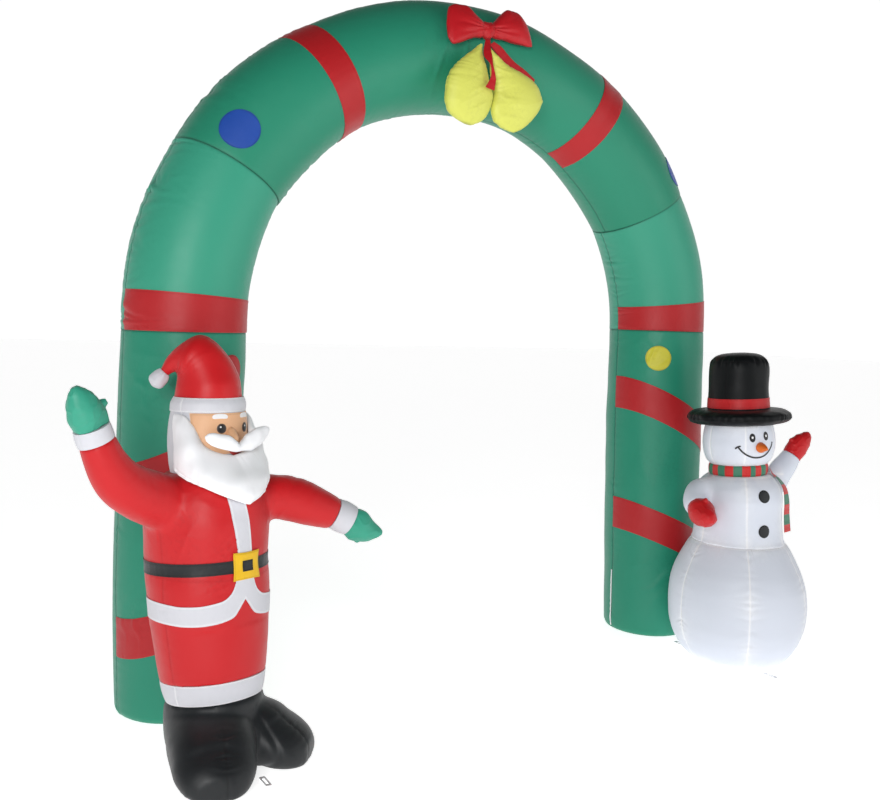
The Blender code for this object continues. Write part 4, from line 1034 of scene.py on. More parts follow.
def crown_form():
    low, high = run_at(CROSS_SEAM[-1]), WHOLE_RUN - run_at(CROSS_SEAM[1])

    def ring(run):
        turn, side, _ = turn_of(run)
        turn = np.degrees(turn)
        foot = np.where(side < 0, CROSS_SEAM[-1], CROSS_SEAM[1])
        waist = CROWN_BAND[1]
        first = np.sin(pi * np.clip((turn - foot) / (waist - foot), 0, 1))
        second = np.sin(pi * np.clip((turn - waist) / (180 - 2 * waist), 0, 1))
        radius = TUBE_RADIUS + FULLNESS * np.where(turn < waist, first, second)
        return arch_ring(run, radius - drawn_in(run - low) - drawn_in(high - run))

    def folds(run, around, spots):
        sizes = sidebar_sizes()
        relief = Relief(run).swell(spots, 0.45, sizes.swell, 211)
        for seam, seed in ((CROWN_SEAM, 221), (-CROWN_SEAM, 231)):
            gap = TUBE_RADIUS * turn_gap(around, seam)
            near = 0.8 + 1.9 * np.exp(-((run - low - 0.16) / 0.20) ** 2)
            relief.stitch(gap, run, seed, sizes.seam_dip, sizes.gather * near,
                          sizes.gather_pitch * 1.1, 0.055)
        relief.stitch(run - low, around * TUBE_RADIUS, 241, 0.0, 0.0011, 0.034, 0.030)
        relief.stitch(high - run, around * TUBE_RADIUS, 251, 0.0, 0.0011, 0.034, 0.030)
        for side in (-1, 1):
            for point, normal in crown_cuts(side):
                gap = (spots - point) @ normal
                front = np.clip(np.cos(around) * 6, 0, 1)
                relief.pinch(gap, around * TUBE_RADIUS, front, 261)
        for centre, size, depth, pitch, way in (
            ((-0.110, -0.160, 2.130), 0.100, 0.0080, 0.110, (0.10, -0.4, 1.0)),
            ((-0.190, -0.165, 2.180), 0.090, 0.0060, 0.090, (0.25, -0.4, 1.0)),
            ((0.160, -0.150, 2.110), 0.080, 0.0040, 0.090, (-0.30, -0.4, 1.0)),
        ):
            relief.wrinkle(spots, centre, size, depth, pitch, way, 271)
        return relief

    return Form(ring, folds)


def crown_cuts(side):
    """Both edges of a crown band, as planes: a point and the normal that looks away from the band."""
    angle = radians(CROWN_BAND[side])
    middle = Vector((side * HALF_SPAN * cos(angle), 0, SPRING_HEIGHT + RISE * sin(angle)))
    out = Vector((side * RISE * cos(angle), 0, HALF_SPAN * sin(angle))).normalized()
    along = out.cross(Vector((0, 1, 0)))
    cuts = []
    for way in (along, -along):
        normal = way * cos(CROWN_BAND_SPREAD) - out * sin(CROWN_BAND_SPREAD)
        cuts.append((np.array(middle + way * (CROWN_BAND_WIDTH / 2)), np.array(normal)))
    return cuts


def sew_tube():
    sizes = sidebar_sizes()
    step = sizes.tube_step
    for side, name in SIDE_NAME.items():
        seams = (OUTER_SEAM, INNER_SEAM)
        columns = turns(TUBE_RADIUS, step * 1.25, seams, step * 0.30, 0.030)
        top = LEG_SEAM[side] - GAP
        rows = steps(0.0, top, step, (0.0, top), step * 0.35, 0.03)
        leg = tube_mesh(f"leg_{name}_sewn", leg_form(side), rows, columns)
        finished(leg, "leg green nylon", f"leg_{name}")
        high = run_at(CROSS_SEAM[side] - 0.009)
        rows = steps(LEG_SEAM[side], high, step * 0.85, (LEG_SEAM[side], high), step * 0.35, 0.03)
        haunch = tube_mesh(f"haunch_{name}_sewn", haunch_form(side), rows, columns)
        finished(haunch, "haunch green nylon", f"haunch_{name}")
    low, high = run_at(CROSS_SEAM[-1] + 0.009), WHOLE_RUN - run_at(CROSS_SEAM[1] + 0.009)
    columns = turns(TUBE_RADIUS, step * 1.25, (CROWN_SEAM, -CROWN_SEAM), step * 0.30, 0.030)
    rows = steps(low, high, step, (low, high), step * 0.35, 0.03)
    crown = tube_mesh("crown_sewn", crown_form(), rows, columns)
    finished(crown, "crown green nylon", "crown")


def between(low, high, rows):
    """Stations from one edge to the other, row by row."""
    share = np.linspace(0, 1, rows)[:, None]
    return low[None, :] + (high - low)[None, :] * share


def sew_bands():
    lift = sidebar_sizes().panel_lift
    columns = np.linspace(INNER_SEAM + 0.002, OUTER_SEAM - 0.002, 130)
    for name, (side, height, slope) in LEG_BANDS.items():
        form = leg_form(side)
        normal = np.array([side * slope, 0.0, 1.0]) / hypot(slope, 1.0)
        point = np.array([side * HALF_SPAN, 0, height])
        low = meet(form, columns, height, point - normal * BAND_WIDTH / 2, normal)
        high = meet(form, columns, height, point + normal * BAND_WIDTH / 2, normal)
        band = patch_mesh(f"band_leg_{name}_sewn", form, between(low, high, 22), columns[None, :], lift)
        finished(band, "band red nylon", f"band_leg_{name}")
    for side, name in SIDE_NAME.items():
        low = np.full(len(columns), LEG_SEAM[side] + 0.0012)
        rows = between(low, low + BAND_WIDTH - 0.0012, 24)
        band = patch_mesh(f"band_spring_{name}_sewn", haunch_form(side), rows, columns[None, :], lift)
        finished(band, "band red nylon", f"band_spring_{name}")
    form = crown_form()
    columns = np.linspace(radians(-87), radians(87), 124)
    for side, name in SIDE_NAME.items():
        start = run_at(CROWN_BAND[side])
        start = start if side < 0 else WHOLE_RUN - start
        edges = [meet(form, columns, start, point, normal) for point, normal in crown_cuts(side)]
        rows = between(np.minimum(*edges), np.maximum(*edges), 20)
        band = patch_mesh(f"band_crown_{name}_sewn", form, rows, columns[None, :], lift)
        finished(band, "band red nylon", f"band_crown_{name}")


def sew_dots():
    lift = sidebar_sizes().panel_lift
    crown = crown_form()
    # node, form, what carries it, station, turn from the front towards the outer side, radius, cloth
    for node, form, carrier, along, around, radius, cloth in (
        ("dot_blue_left", crown, "crown_sewn", run_at(33.4), 23.9, 0.064, "dot blue nylon"),
        ("dot_blue_right", crown, "crown_sewn", WHOLE_RUN - run_at(35.2), 46.0, 0.064, "dot blue nylon"),
        ("dot_yellow", leg_form(1), "leg_right_sewn", 1.127, -39.5, 0.050, "dot yellow nylon"),
        ("dot_red", leg_form(-1), "leg_left_sewn", 1.073, -32.0, 0.050, "band red nylon"),
    ):
        places = pinned(form, along, radians(around), *disc_grid(radius, radius, 33))
        dot = patch_mesh(f"{node}_sewn", form, *places, lift=lift)
        2 * radius
        2 * radius
        pi * radius ** 2
        finished(dot, cloth, node)

    form = leg_form(1)
    rows = np.linspace(0.014, 0.243, 60)[:, None]
    columns = INNER_SEAM - np.linspace(0.0004, 0.0056, 5)[None, :] / TUBE_RADIUS
    zip_strip = patch_mesh("zip_strip_sewn", form, rows, columns, lift)
    finished(zip_strip, "white webbing", "zip_strip")


# ---------------------------------------------------------------- bow, ribbons and bells

BOW_FRAME = Matrix.Translation(BOW_CENTRE) @ Matrix.Rotation(-BOW_TILT, 4, "X")
KNOT = -0.030


def bow_form():
    across, low, high, thick = (np.array(column) for column in zip(*BOW_ROWS))

    def ring(along):
        bottom, top, half = (smooth(along, across, values) for values in (low, high, thick))
        zero = np.zeros_like(along)
        middle = np.stack([along, zero, (top + bottom) / 2], -1)
        first = np.stack([zero, -half, zero], -1)
        second = np.stack([zero, zero, (top - bottom) / 2], -1)
        return middle, first, second

    def folds(along, around, spots):
        relief = Relief(along)
        off = along - KNOT
        far = np.abs(off)
        fan = np.arctan2(spots[..., 2] - 0.010, far + 0.012)
        near = np.exp(-((far - 0.020) / 0.050) ** 2)
        relief.height += 0.0042 * near * gathers(fan, 0.34, 311) * np.clip(far / 0.02, 0.3, 1)
        relief.height += 0.0022 * np.exp(-((far - 0.085) / 0.045) ** 2) * gathers(fan * 1.1 + 0.3, 0.42, 312)
        relief.swell(spots, 0.10, 0.0016, 313)
        for seam in (pi / 2, -pi / 2):
            gap = turn_gap(around, seam) * 0.020
            relief.stitch(gap, along, 314, 0.0012, 0.0012, 0.020, 0.014, 0.003)
        relief.pull = np.maximum(relief.pull, near)
        relief.height -= 0.0030 * np.exp(-((far - 0.0215) / 0.0045) ** 2)
        return relief

    return Form(ring, folds, Matrix.Translation(FOOTPRINT_SHIFT) @ BOW_FRAME)


def sew_bow():
    rows = steps(BOW_ROWS[0][0], BOW_ROWS[-1][0], 0.0042, (KNOT,), 0.0016, 0.03)
    bow = tube_mesh("bow_stuffed", bow_form(), rows, turns(0.06, 0.0042))
    finished(bow, "bow red nylon", "bow")


def bell_form(tip, foot, rows, seed):
    tip, foot = np.array([tip[0], BELL_PLANE, tip[1]]), np.array([foot[0], BELL_PLANE, foot[1]])
    size = float(np.linalg.norm(foot - tip))
    ahead = (foot - tip) / size
    side = np.cross([0.0, -1.0, 0.0], ahead) * (1.0 if foot[0] * ahead[2] < 0 else -1.0)
    share, out, back, thick = (np.array(column) for column in zip(*rows))

    def ring(along):
        outer, inner = smooth(along / size, share, out), smooth(along / size, share, back)
        half_thick = smooth(along / size, share, thick)
        middle = tip + ahead * along[..., None] + side * ((outer - inner) / 2)[..., None]
        return middle, side * ((outer + inner) / 2)[..., None], np.cross(ahead, side) * half_thick[..., None]

    def folds(along, around, spots):
        relief = Relief(along).swell(spots, 0.16, 0.0022, seed)
        for seam in (0.0, pi):
            gap = np.abs(np.sin(turn_gap(around, seam) / 2)) * 0.10
            relief.stitch(gap, along * 1.25, seed + 3 + int(seam), 0.0026, 0.0036, 0.024, 0.032, 0.0035)
        for centre in (0.22, 0.55, 0.80):
            place = tip + ahead * (size * centre) + np.array([0.0, -0.04, 0.0])
            relief.wrinkle(spots, place, 0.055, 0.0028, 0.055, side + ahead * 0.8, seed + 9)
        relief.stitch(size - along, around * 0.05, seed + 5, 0.0, 0.0020, 0.020, 0.020)
        return relief

    return Form(ring, folds), size


def sew_bells():
    left, left_size = bell_form((-0.076, 2.208), (-0.121, 1.925), BELL_ROWS["left"], 411)
    right, right_size = bell_form((-0.047, 2.197), (0.080, 1.925), BELL_ROWS["right"], 431)
    columns = turns(0.075, 0.0050, (0.0, pi), 0.0022, 0.018)
    rows = steps(0.0, left_size, 0.0038, (0.0, left_size), 0.0016, 0.016)
    bell_left = tube_mesh("bell_left_stuffed", left, rows, columns)
    cutter = tube_mesh("bell_left_room", left, rows, columns, lift=0.0006)
    rows = steps(0.0, right_size, 0.0038, (0.0, right_size), 0.0016, 0.016)
    bell_right = carve(tube_mesh("bell_right_stuffed", right, rows, columns), cutter)
    for item, node in ((bell_left, "bell_left"), (bell_right, "bell_right")):
        finished(item, "bell yellow nylon", node)


def strip_form(rows, thick, holder=None, wave=0.0012):
    """A thin ribbon as a flat tube. A row: middle point, way across, half width and the way it faces."""
    middle = np.array([row[0] for row in rows], float)
    half = np.array([row[2] for row in rows], float)
    side, face = (unit(np.array([row[k] for row in rows], float)) for k in (1, 3))
    run = lengths(middle)

    def ring(along):
        across = smooth(along, run, side)
        front = smooth(along, run, face)
        across = unit(across)
        front = unit(front - across * np.sum(front * across, -1, keepdims=True))
        width = smooth(along, run, half)
        place = smooth(along, run, middle, loose=True)
        return place, across * width[..., None], front * (thick / 2)

    def folds(along, around, spots):
        relief = Relief(along)
        relief.height += wave * np.sin(around) * ripple(along / 0.035, 511)
        relief.seam = np.exp(-((np.abs(np.cos(around)) - 0.90) / 0.05) ** 2)
        return relief

    return Form(ring, folds, holder), float(run[-1])


RIBBON_THICK = 0.0015
RIBBON_LEFT = (
    # middle of the ribbon, way across, half width, way the face looks
    ((-0.047, -0.2465, 2.2300), (1, 0, 0.1), 0.010, (0, -1, 0.2)),
    ((-0.068, -0.2830, 2.1640), (1, 0, 0.3), 0.017, (0, -1, 0.3)),
    ((-0.060, -0.2980, 2.1270), (1, 0, -0.1), 0.006, (0.2, -1, 0.2)),
    ((-0.055, -0.3010, 2.0850), (1, 0, -0.2), 0.011, (0, -1, 0.1)),
    ((-0.069, -0.3030, 2.0450), (1, 0, -0.2), 0.019, (0, -1, 0)),
)
RIBBON_RIGHT = (
    ((-0.004, -0.2070, 2.2330), (0.8, 0, 0.6), 0.012, (0, -1, 0.0)),
    ((0.027, -0.2065, 2.2140), (0.7, 0, 0.7), 0.017, (0, -1, 0.0)),
    ((0.056, -0.2060, 2.1900), (0.6, 0, 0.8), 0.0175, (0, -1, 0.0)),
    ((0.090, -0.2055, 2.1680), (0.5, 0, 0.8), 0.0165, (0, -1, -0.1)),
    ((0.135, -0.2045, 2.1490), (0.4, 0, 0.9), 0.015, (0, -1, -0.2)),
    ((0.187, -0.1990, 2.1240), (0.4, 0, 0.9), 0.013, (0, -1, -0.2)),
)


def sew_ribbons():
    for name, rows, width in (("ribbon_left", RIBBON_LEFT, 0.027), ("ribbon_right", RIBBON_RIGHT, 0.028)):
        form, size = strip_form(rows, RIBBON_THICK, wave=0.0004)
        ribbon = tube_mesh(f"{name}_sewn", form, np.linspace(0, size, 70), turns(0.015, 0.0028))
        finished(ribbon, "bow red nylon", name)


# ---------------------------------------------------------------- limbs and stacked lengths of the figures

def stack_form(axes, rows, folds, holder, draw=(0.0, 0.0)):
    """Round rings, one for each height, drawn in at the lower and the upper end by the given depths."""
    heights, radii = zip(*rows)

    def ring(height):
        middle, front, side = axes(height)
        radius = smooth(height, heights, radii)
        radius = radius - draw[0] * np.exp(-(height - heights[0]) / 0.007)
        radius = radius - draw[1] * np.exp(-(heights[-1] - height) / 0.007)
        return middle, front * radius[..., None], side * radius[..., None]

    return Form(ring, folds, holder)


def limb_forms(parts, hint, holder, folds):
    """Filled tubes one after the other along one path. A row is a point and two half widths."""
    joined = list(parts[0])
    for part in parts[1:]:
        joined += part[1:]
    path = np.array([row[0] for row in joined], float)
    run = lengths(path)
    hint = np.array(hint, float)
    made, start = [], 0
    for part, fold in zip(parts, folds):
        own = run[start:start + len(part)]
        wide, deep = np.array([row[1] for row in part]), np.array([row[2] for row in part])

        def ring(along, own=own, wide=wide, deep=deep):
            place = smooth(along, run, path, loose=True)
            before, after = (smooth(along + off, run, path, loose=True) for off in (-0.003, 0.003))
            ahead = unit(after - before)
            side = unit(hint - ahead * (ahead @ hint)[..., None])
            half_wide, half_deep = smooth(along, own, wide), smooth(along, own, deep)
            return place, side * half_wide[..., None], np.cross(ahead, side) * half_deep[..., None]

        low = own[0] + (GAP / 2 if start else 0)
        high = own[-1] - (GAP / 2 if own[-1] < run[-1] else 0)
        made.append((Form(ring, fold, holder), low, high))
        start += len(part) - 1
    return made


def limb_mesh(name, made, size, radius):
    form, low, high = made
    rows = steps(low, high, size, (low, high), size * 0.4, 0.012)
    return tube_mesh(name, form, rows, turns(radius, size))


def limb(name, rows, hint, holder, size, radius, folds=plain):
    """One filled tube by itself."""
    return limb_mesh(name, limb_forms([list(rows)], hint, holder, [folds])[0], size, radius)


def one_mesh(name, items):
    """Puts several closed pieces in one object."""
    corners, faces, start = [], [], 0
    for item in items:
        mesh = item.data
        corners += [tuple(v.co) for v in mesh.vertices]
        faces += [[start + k for k in face.vertices] for face in mesh.polygons]
        start += len(mesh.vertices)
        bpy.data.objects.remove(item, do_unlink=True)
    mesh = bpy.data.meshes.new(name)
    mesh.from_pydata(corners, [], faces)
    return placed(name, mesh)


def grown_together(name, items, cell, passes):
    """One skin round several closed pieces, smooth where they meet."""
    item = one_mesh(name, items)
    skin = item.modifiers.new("skin", "REMESH")
    skin.mode = "VOXEL"
    skin.voxel_size = cell
    relax = item.modifiers.new("relax", "SMOOTH")
    relax.factor = 0.5
    relax.iterations = passes
    settle(item)
    item.data.shade_smooth()
    return item


# ---------------------------------------------------------------- Father Christmas

SHOULDER_LEVEL = 0.72
SANTA_HOLDER = Matrix.Translation(SANTA_AT + FOOTPRINT_SHIFT) @ Matrix.Rotation(SANTA_TURN, 4, "Z")
COAT_SEAMS = (radians(-80), radians(80))


def santa_axes(height):
    """The middle of a level ring and its ways to the front and to his left hand."""
    height = np.asarray(height, float)
    share = (height - SANTA_ANKLE) / (SANTA_BROW - SANTA_ANKLE)
    lean = SANTA_LEAN_LOW + (SANTA_LEAN_HIGH - SANTA_LEAN_LOW) * share
    back = (height - SANTA_ANKLE) * np.tan((SANTA_LEAN_LOW + lean) / 2)
    sideways = -0.0095 * np.sin(pi * np.minimum(1, share / 1.3))
    zero, one = np.zeros_like(height), np.ones_like(height)
    front = np.stack([zero, -np.cos(lean), np.sin(lean)], -1)
    return np.stack([sideways, back, height], -1), front, np.stack([one, zero, zero], -1)


def level_point(axes, level, across, reach, up):
    """A point by its places in the frame of one level: across, in front of the axis and up."""
    middle, front, side = axes(level)
    return middle + side * across + front * reach + np.cross(side, -front) * up


def level_way(way):
    """A level way of length one from its two parts."""
    return np.array([*way, 0.0]) / hypot(*way)


def level_matrix(axes, level):
    middle, front, side = axes(level)
    up = np.cross(side, -front)
    return Matrix([
        (side[0], -front[0], up[0], middle[0]),
        (side[1], -front[1], up[1], middle[1]),
        (side[2], -front[2], up[2], middle[2]),
        (0, 0, 0, 1),
    ])


def suit_folds(seed, side_tuck=0.0012, wrinkles=()):
    def folds(height, around, spots):
        relief = Relief(height).swell(spots, 0.17, 0.0020, seed)
        for seam in COAT_SEAMS:
            relief.stitch(0.165 * turn_gap(around, seam), height, seed + 3, 0.0008, side_tuck, 0.022, 0.026)
        for centre, size, depth, pitch, way in wrinkles:
            relief.wrinkle(spots, centre, size, depth, pitch, way, seed + 5)
        return relief

    return folds


def ring_gathers(folds, heights, seed, tuck=0.0009, pitch=0.020, reach=0.016):
    """Folds with more gathers off the given level seams."""
    def more(height, around, spots):
        relief = folds(height, around, spots)
        for k, seam in enumerate(heights):
            relief.stitch(height - seam, around * 0.15, seed + k, 0.0, tuck, pitch, reach)
        return relief

    return more


def coat_form():
    wrinkles = []
    for around, height, size, depth, pitch, way in (
        (-17, 0.600, 0.040, 0.0058, 0.036, (0.7, 0.0, 0.8)),
        (-26, 0.510, 0.042, 0.0040, 0.042, (1.0, 0.0, 0.35)),
        (-60, 0.700, 0.060, 0.0050, 0.060, (0.6, 0.2, -1.0)),
        (-58, 0.620, 0.055, 0.0036, 0.055, (0.2, 0.2, 1.0)),
        (52, 0.690, 0.050, 0.0038, 0.055, (-0.5, 0.2, -1.0)),
    ):
        middle, front, side = santa_axes(height)
        angle = radians(around)
        place = middle + (front * cos(angle) + side * sin(angle)) * 0.172
        wrinkles.append((place, size, depth, pitch, way))
    folds = ring_gathers(suit_folds(611, 0.0013, wrinkles), (BELT_HEIGHT - 0.018, BELT_HEIGHT + 0.018), 621)

    def belted(height, around, spots):
        relief = folds(height, around, spots)
        relief.height -= 0.0022 * np.exp(-((height - BELT_HEIGHT) / 0.022) ** 2)
        return relief

    return stack_form(santa_axes, COAT_ROWS, belted, SANTA_HOLDER, (0.0005, 0.0))


def head_form():
    folds = suit_folds(631, 0.0006)
    return stack_form(santa_axes, HEAD_ROWS, folds, SANTA_HOLDER, (0.0, 0.0020))


def stack_mesh(name, form, rows, size, radius, seams=(), lift=0.0):
    low, high = rows[0][0], rows[-1][0]
    places = steps(low, high, size, (low, high), size * 0.35, 0.015)
    return tube_mesh(name, form, places, turns(radius, size * 1.15, seams, size * 0.35, 0.020), lift)


BELT_RADIUS = 0.1715


def sew_suit():
    """Trouser trim, the suit with its sleeves, hem, placket, belt and buckle."""
    size = sidebar_sizes().figure_step
    trim = ring_gathers(suit_folds(641, 0.0008), (0.1766, 0.2325), 643)
    form = stack_form(santa_axes, TRIM_ROWS, trim, SANTA_HOLDER, (0.0016, 0.0010))
    item = stack_mesh("santa_trouser_trim_sewn", form, TRIM_ROWS, size, 0.143, COAT_SEAMS)
    finished(item, "trim white nylon", "santa_trouser_trim")

    coat = sew_coat()
    lift = sidebar_sizes().panel_lift
    front = np.concatenate([
        np.linspace(-180, -46, 62)[:-1], np.linspace(-46, 46, 139), np.linspace(46, 180, 62)[1:-1],
    ])
    arcs, low, high = zip(*TRIM_EDGE)
    low, high = smooth(np.abs(front), arcs, low), smooth(np.abs(front), arcs, high)
    hem = patch_mesh("santa_coat_trim_sewn", coat, between(low, high, 16), np.radians(front)[None, :], lift,
                     closed=True)
    finished(hem, "trim white nylon", "santa_coat_trim")

    rows = np.linspace(BELT_HEIGHT + BELT_HALF + 0.0008, 0.745, 48)[:, None]
    middle = smooth(rows, (0.565, 0.605, 0.675, 0.745), (0.003, -0.001, -0.0130, -0.0220))
    half_wide = smooth(rows, (0.565, 0.675, 0.745), (0.0225, 0.0255, 0.0235))
    across = middle + half_wide * np.linspace(-1, 1, 14)[None, :]
    radius = np.interp(rows, *zip(*COAT_ROWS))
    strip = patch_mesh("santa_placket_sewn", coat, rows, np.arcsin(across / radius), lift)
    finished(strip, "trim white nylon", "santa_placket")

    rows = np.linspace(BELT_HEIGHT - BELT_HALF, BELT_HEIGHT + BELT_HALF, 10)[:, None]
    belt = patch_mesh("santa_belt_sewn", coat, rows, turns(BELT_RADIUS, 0.0050)[None, :] - pi, lift,
                      closed=True)
    finished(belt, "boot black nylon", "santa_belt")
    sew_buckle(coat)


def filled_out(item, back, centres, reach):
    """Lets the skin fill out near the centres. Gives back how near to one each corner of the mesh lies."""
    own = moved(corner_values(item.data, "co"), back)
    near = np.zeros(len(own))
    for centre in centres:
        near = np.maximum(near, np.clip((reach - np.linalg.norm(own - centre, axis=-1)) / 0.045, 0, 1))
    group = item.vertex_groups.new(name="shoulders")
    for share in np.arange(1, 11) / 10:
        chosen = np.nonzero(np.abs(near - share) <= 0.05)[0]
        group.add(chosen.tolist(), float(share), "REPLACE")
    relax = item.modifiers.new("shoulders", "SMOOTH")
    relax.factor = 0.5
    relax.iterations = 62
    relax.vertex_group = "shoulders"
    settle(item)
    item.data.shade_smooth()
    return near


def with_sleeves(name, parts, cell, form, axes, centres, reaches, pull, crease=0.0):
    """One skin round a body and its sleeves, filled out at the shoulders. The reaches are how far a
    shoulder's soft part goes from its centre and how far the body's own seams go from its axis."""
    item = grown_together(name, parts, cell, 1)
    back = np.array(Matrix(form.holder).inverted())
    near = filled_out(item, back, centres, reaches[0])

    def heights(spots):
        own = moved(spots, back)
        middle, front, side = axes(own[:, 2])
        off = own - middle
        around = np.arctan2(np.sum(off * side, -1), np.sum(off * front, -1))
        known = form.folds(own[:, 2], around, own)
        here = np.clip((reaches[1] - np.linalg.norm(off, axis=-1)) / 0.008, 0, 1)
        relief = Relief(around)
        relief.seam = known.seam * here
        relief.pull = np.maximum(known.pull * here, near * pull)
        relief.height = near * crease * (creases(own * np.array([1.0, 1.0, 0.5]), 0.055, 731) - 0.3)
        return relief

    worked(item, heights)
    return item


def sew_coat():
    """Trousers, coat and both sleeves in one skin, which fills out where a sleeve leaves the coat."""
    size = sidebar_sizes().figure_step * 0.8
    coat = coat_form()
    legs = ring_gathers(suit_folds(651), (0.2328,), 653)
    legs = stack_form(santa_axes, TROUSER_ROWS, legs, SANTA_HOLDER, (0.0008, 0.0))
    parts = [stack_mesh("coat", coat, COAT_ROWS, size, 0.172, COAT_SEAMS)]
    rows = TROUSER_ROWS[:-1] + (COAT_ROWS[0],)
    parts.append(stack_mesh("trousers", legs, rows, size, 0.156, COAT_SEAMS, lift=0.0001))
    parts += [limb_mesh("sleeve", arm_parts(name)[0], size, 0.064) for name in SANTA_ARMS]
    shoulder = santa_axes(SHOULDER_LEVEL)[0]
    centres = []
    for (way, arm, *_rest) in SANTA_ARMS.values():
        top = np.array([shoulder[0], shoulder[1], arm[2][1]])
        centres.append(top + level_way(way) * arm[2][0] * 0.96)
    item = with_sleeves("santa_suit_sewn", parts, 0.0050, coat, santa_axes, centres, (0.140, 0.182), 0.45,
                        0.0010)
    finished(item, "suit red nylon", "santa_coat", "santa_trousers", "santa_arm_raised",
             "santa_arm_low")
    return coat


def sew_buckle(coat):
    """The padded square of the buckle with its dark middle."""
    v, u = np.meshgrid(np.linspace(-1, 1, 25), np.linspace(-1, 1, 27), indexing="ij")
    pinch_u, pinch_v = 1 - 0.06 * (1 - v ** 2), 1 - 0.05 * (1 - u ** 2)
    across, up = 0.006 + 0.0430 * u * pinch_u, BELT_HEIGHT + 0.0390 * v * pinch_v
    swell = 0.0018 + 0.0022 * np.clip((1 - u ** 2) * (1 - v ** 2), 0, 1) ** 0.35
    item = patch_mesh("santa_buckle_padded", coat, up, np.arcsin(across / BELT_RADIUS), CLEAR, swell)
    finished(item, "buckle yellow nylon", "santa_buckle")
    across, up = 0.006 + 0.0165 * u, BELT_HEIGHT + 0.0150 * v
    item = patch_mesh("santa_buckle_middle", coat, up, np.arcsin(across / BELT_RADIUS), CLEAR + 0.0041,
                      0.0008)
    finished(item, "boot black nylon")


FEET = (
    # heel, way of the toe, size, seed of the seam; rows of the instep: reach, height, half width, half height
    ((-0.024, 0.002), (-0.480, -0.877), 0.925, 663, (
        (-0.020, 0.098, 0.110, 0.086), (0.050, 0.098, 0.116, 0.086), (0.105, 0.092, 0.117, 0.080),
        (0.160, 0.082, 0.112, 0.070), (0.205, 0.070, 0.098, 0.058),
    )),
    ((0.026, 0.004), (0.560, -0.830), 0.86, 665, (
        (-0.020, 0.090, 0.112, 0.078), (0.060, 0.090, 0.109, 0.078), (0.110, 0.088, 0.102, 0.075),
        (0.155, 0.083, 0.090, 0.067), (0.185, 0.078, 0.070, 0.050),
    )),
)


def sew_boots():
    """Both boots in one: the ankle and two stuffed feet, grown together and flat where they stand."""
    heights = (0.0, 0.020, 0.070, 0.120, SANTA_ANKLE)
    top = santa_axes(SANTA_ANKLE)

    def ring(height):
        # the ring turns from level at the floor to square with his axis at the ankle
        share = smooth(height, heights, (0.0, 0.0, 0.08, 0.45, 1.0))[..., None]
        radius = smooth(height, heights, (0.112, 0.126, 0.135, 0.1365, 0.1370))[..., None]
        zero = np.zeros_like(height)
        middle = np.stack([zero, zero, height], -1) * (1 - share) + top[0] * share
        front = np.array([0.0, -1.0, 0.0]) * (1 - share) + top[1] * share
        return middle, unit(front) * radius, top[2] * radius

    ankle = tube_mesh("ankle", Form(ring, plain, SANTA_HOLDER), np.linspace(0, SANTA_ANKLE, 40),
                      turns(0.13, 0.009))
    feet = [foot(heel, toe_way, size) for heel, toe_way, size, _seed, _rows in FEET]
    for heel, toe_way, _size, _seed, rows in FEET:
        ahead = level_way(toe_way)
        path = [(np.array([*heel, height]) + ahead * reach, wide, tall) for reach, height, wide, tall in rows]
        feet.append(limb("instep", path, (ahead[1], -ahead[0], 0.0), SANTA_HOLDER, 0.009, 0.11))
    item = grown_together("santa_boots_stuffed", [ankle, *feet], 0.0058, 30)
    back = np.array(SANTA_HOLDER.inverted())

    def heights_of(spots):
        own = moved(spots, back)
        relief = Relief(own[:, 0]).swell(own, 0.17, 0.0026, 661)
        # the seam over the middle of each foot, from the ankle to the sole
        for _heel, way, _size, seed, _rows in FEET:
            way = unit(np.array(way))
            off = own[:, 0] * way[1] - own[:, 1] * way[0]
            ahead = own[:, 0] * way[0] + own[:, 1] * way[1]
            strong = np.clip((ahead - 0.10) / 0.08, 0, 1) * np.clip((0.165 - own[:, 2]) / 0.04, 0, 1)
            seam = Relief(off).stitch(off, ahead - own[:, 2], seed, 0.0016, 0.0040, 0.034, 0.022)
            relief.height += seam.height * strong
            relief.seam = np.maximum(relief.seam, seam.seam * strong * 0.7)
            relief.pull = np.maximum(relief.pull, seam.pull * strong)
        around = np.arctan2(own[:, 0], own[:, 1])
        relief.stitch(own[:, 2] - 0.004, around * 0.2, 667, 0.0, 0.0018, 0.030, 0.018)
        # the fold between the two feet
        gap = own[:, 0] * 0.985 - own[:, 1] * -0.17 - 0.018
        low = np.clip((0.175 - own[:, 2]) / 0.05, 0, 1) * np.clip(-own[:, 1] / 0.06, 0, 1)
        relief.height -= 0.0045 * np.exp(-(gap / 0.007) ** 2) * low
        relief.height *= np.clip((SANTA_ANKLE + 0.004 - own[:, 2] - 0.14 * own[:, 1]) / 0.02, 0, 1)
        return relief

    worked(item, heights_of, flat_floor=True)
    finished(item, "boot black nylon", "santa_boots")


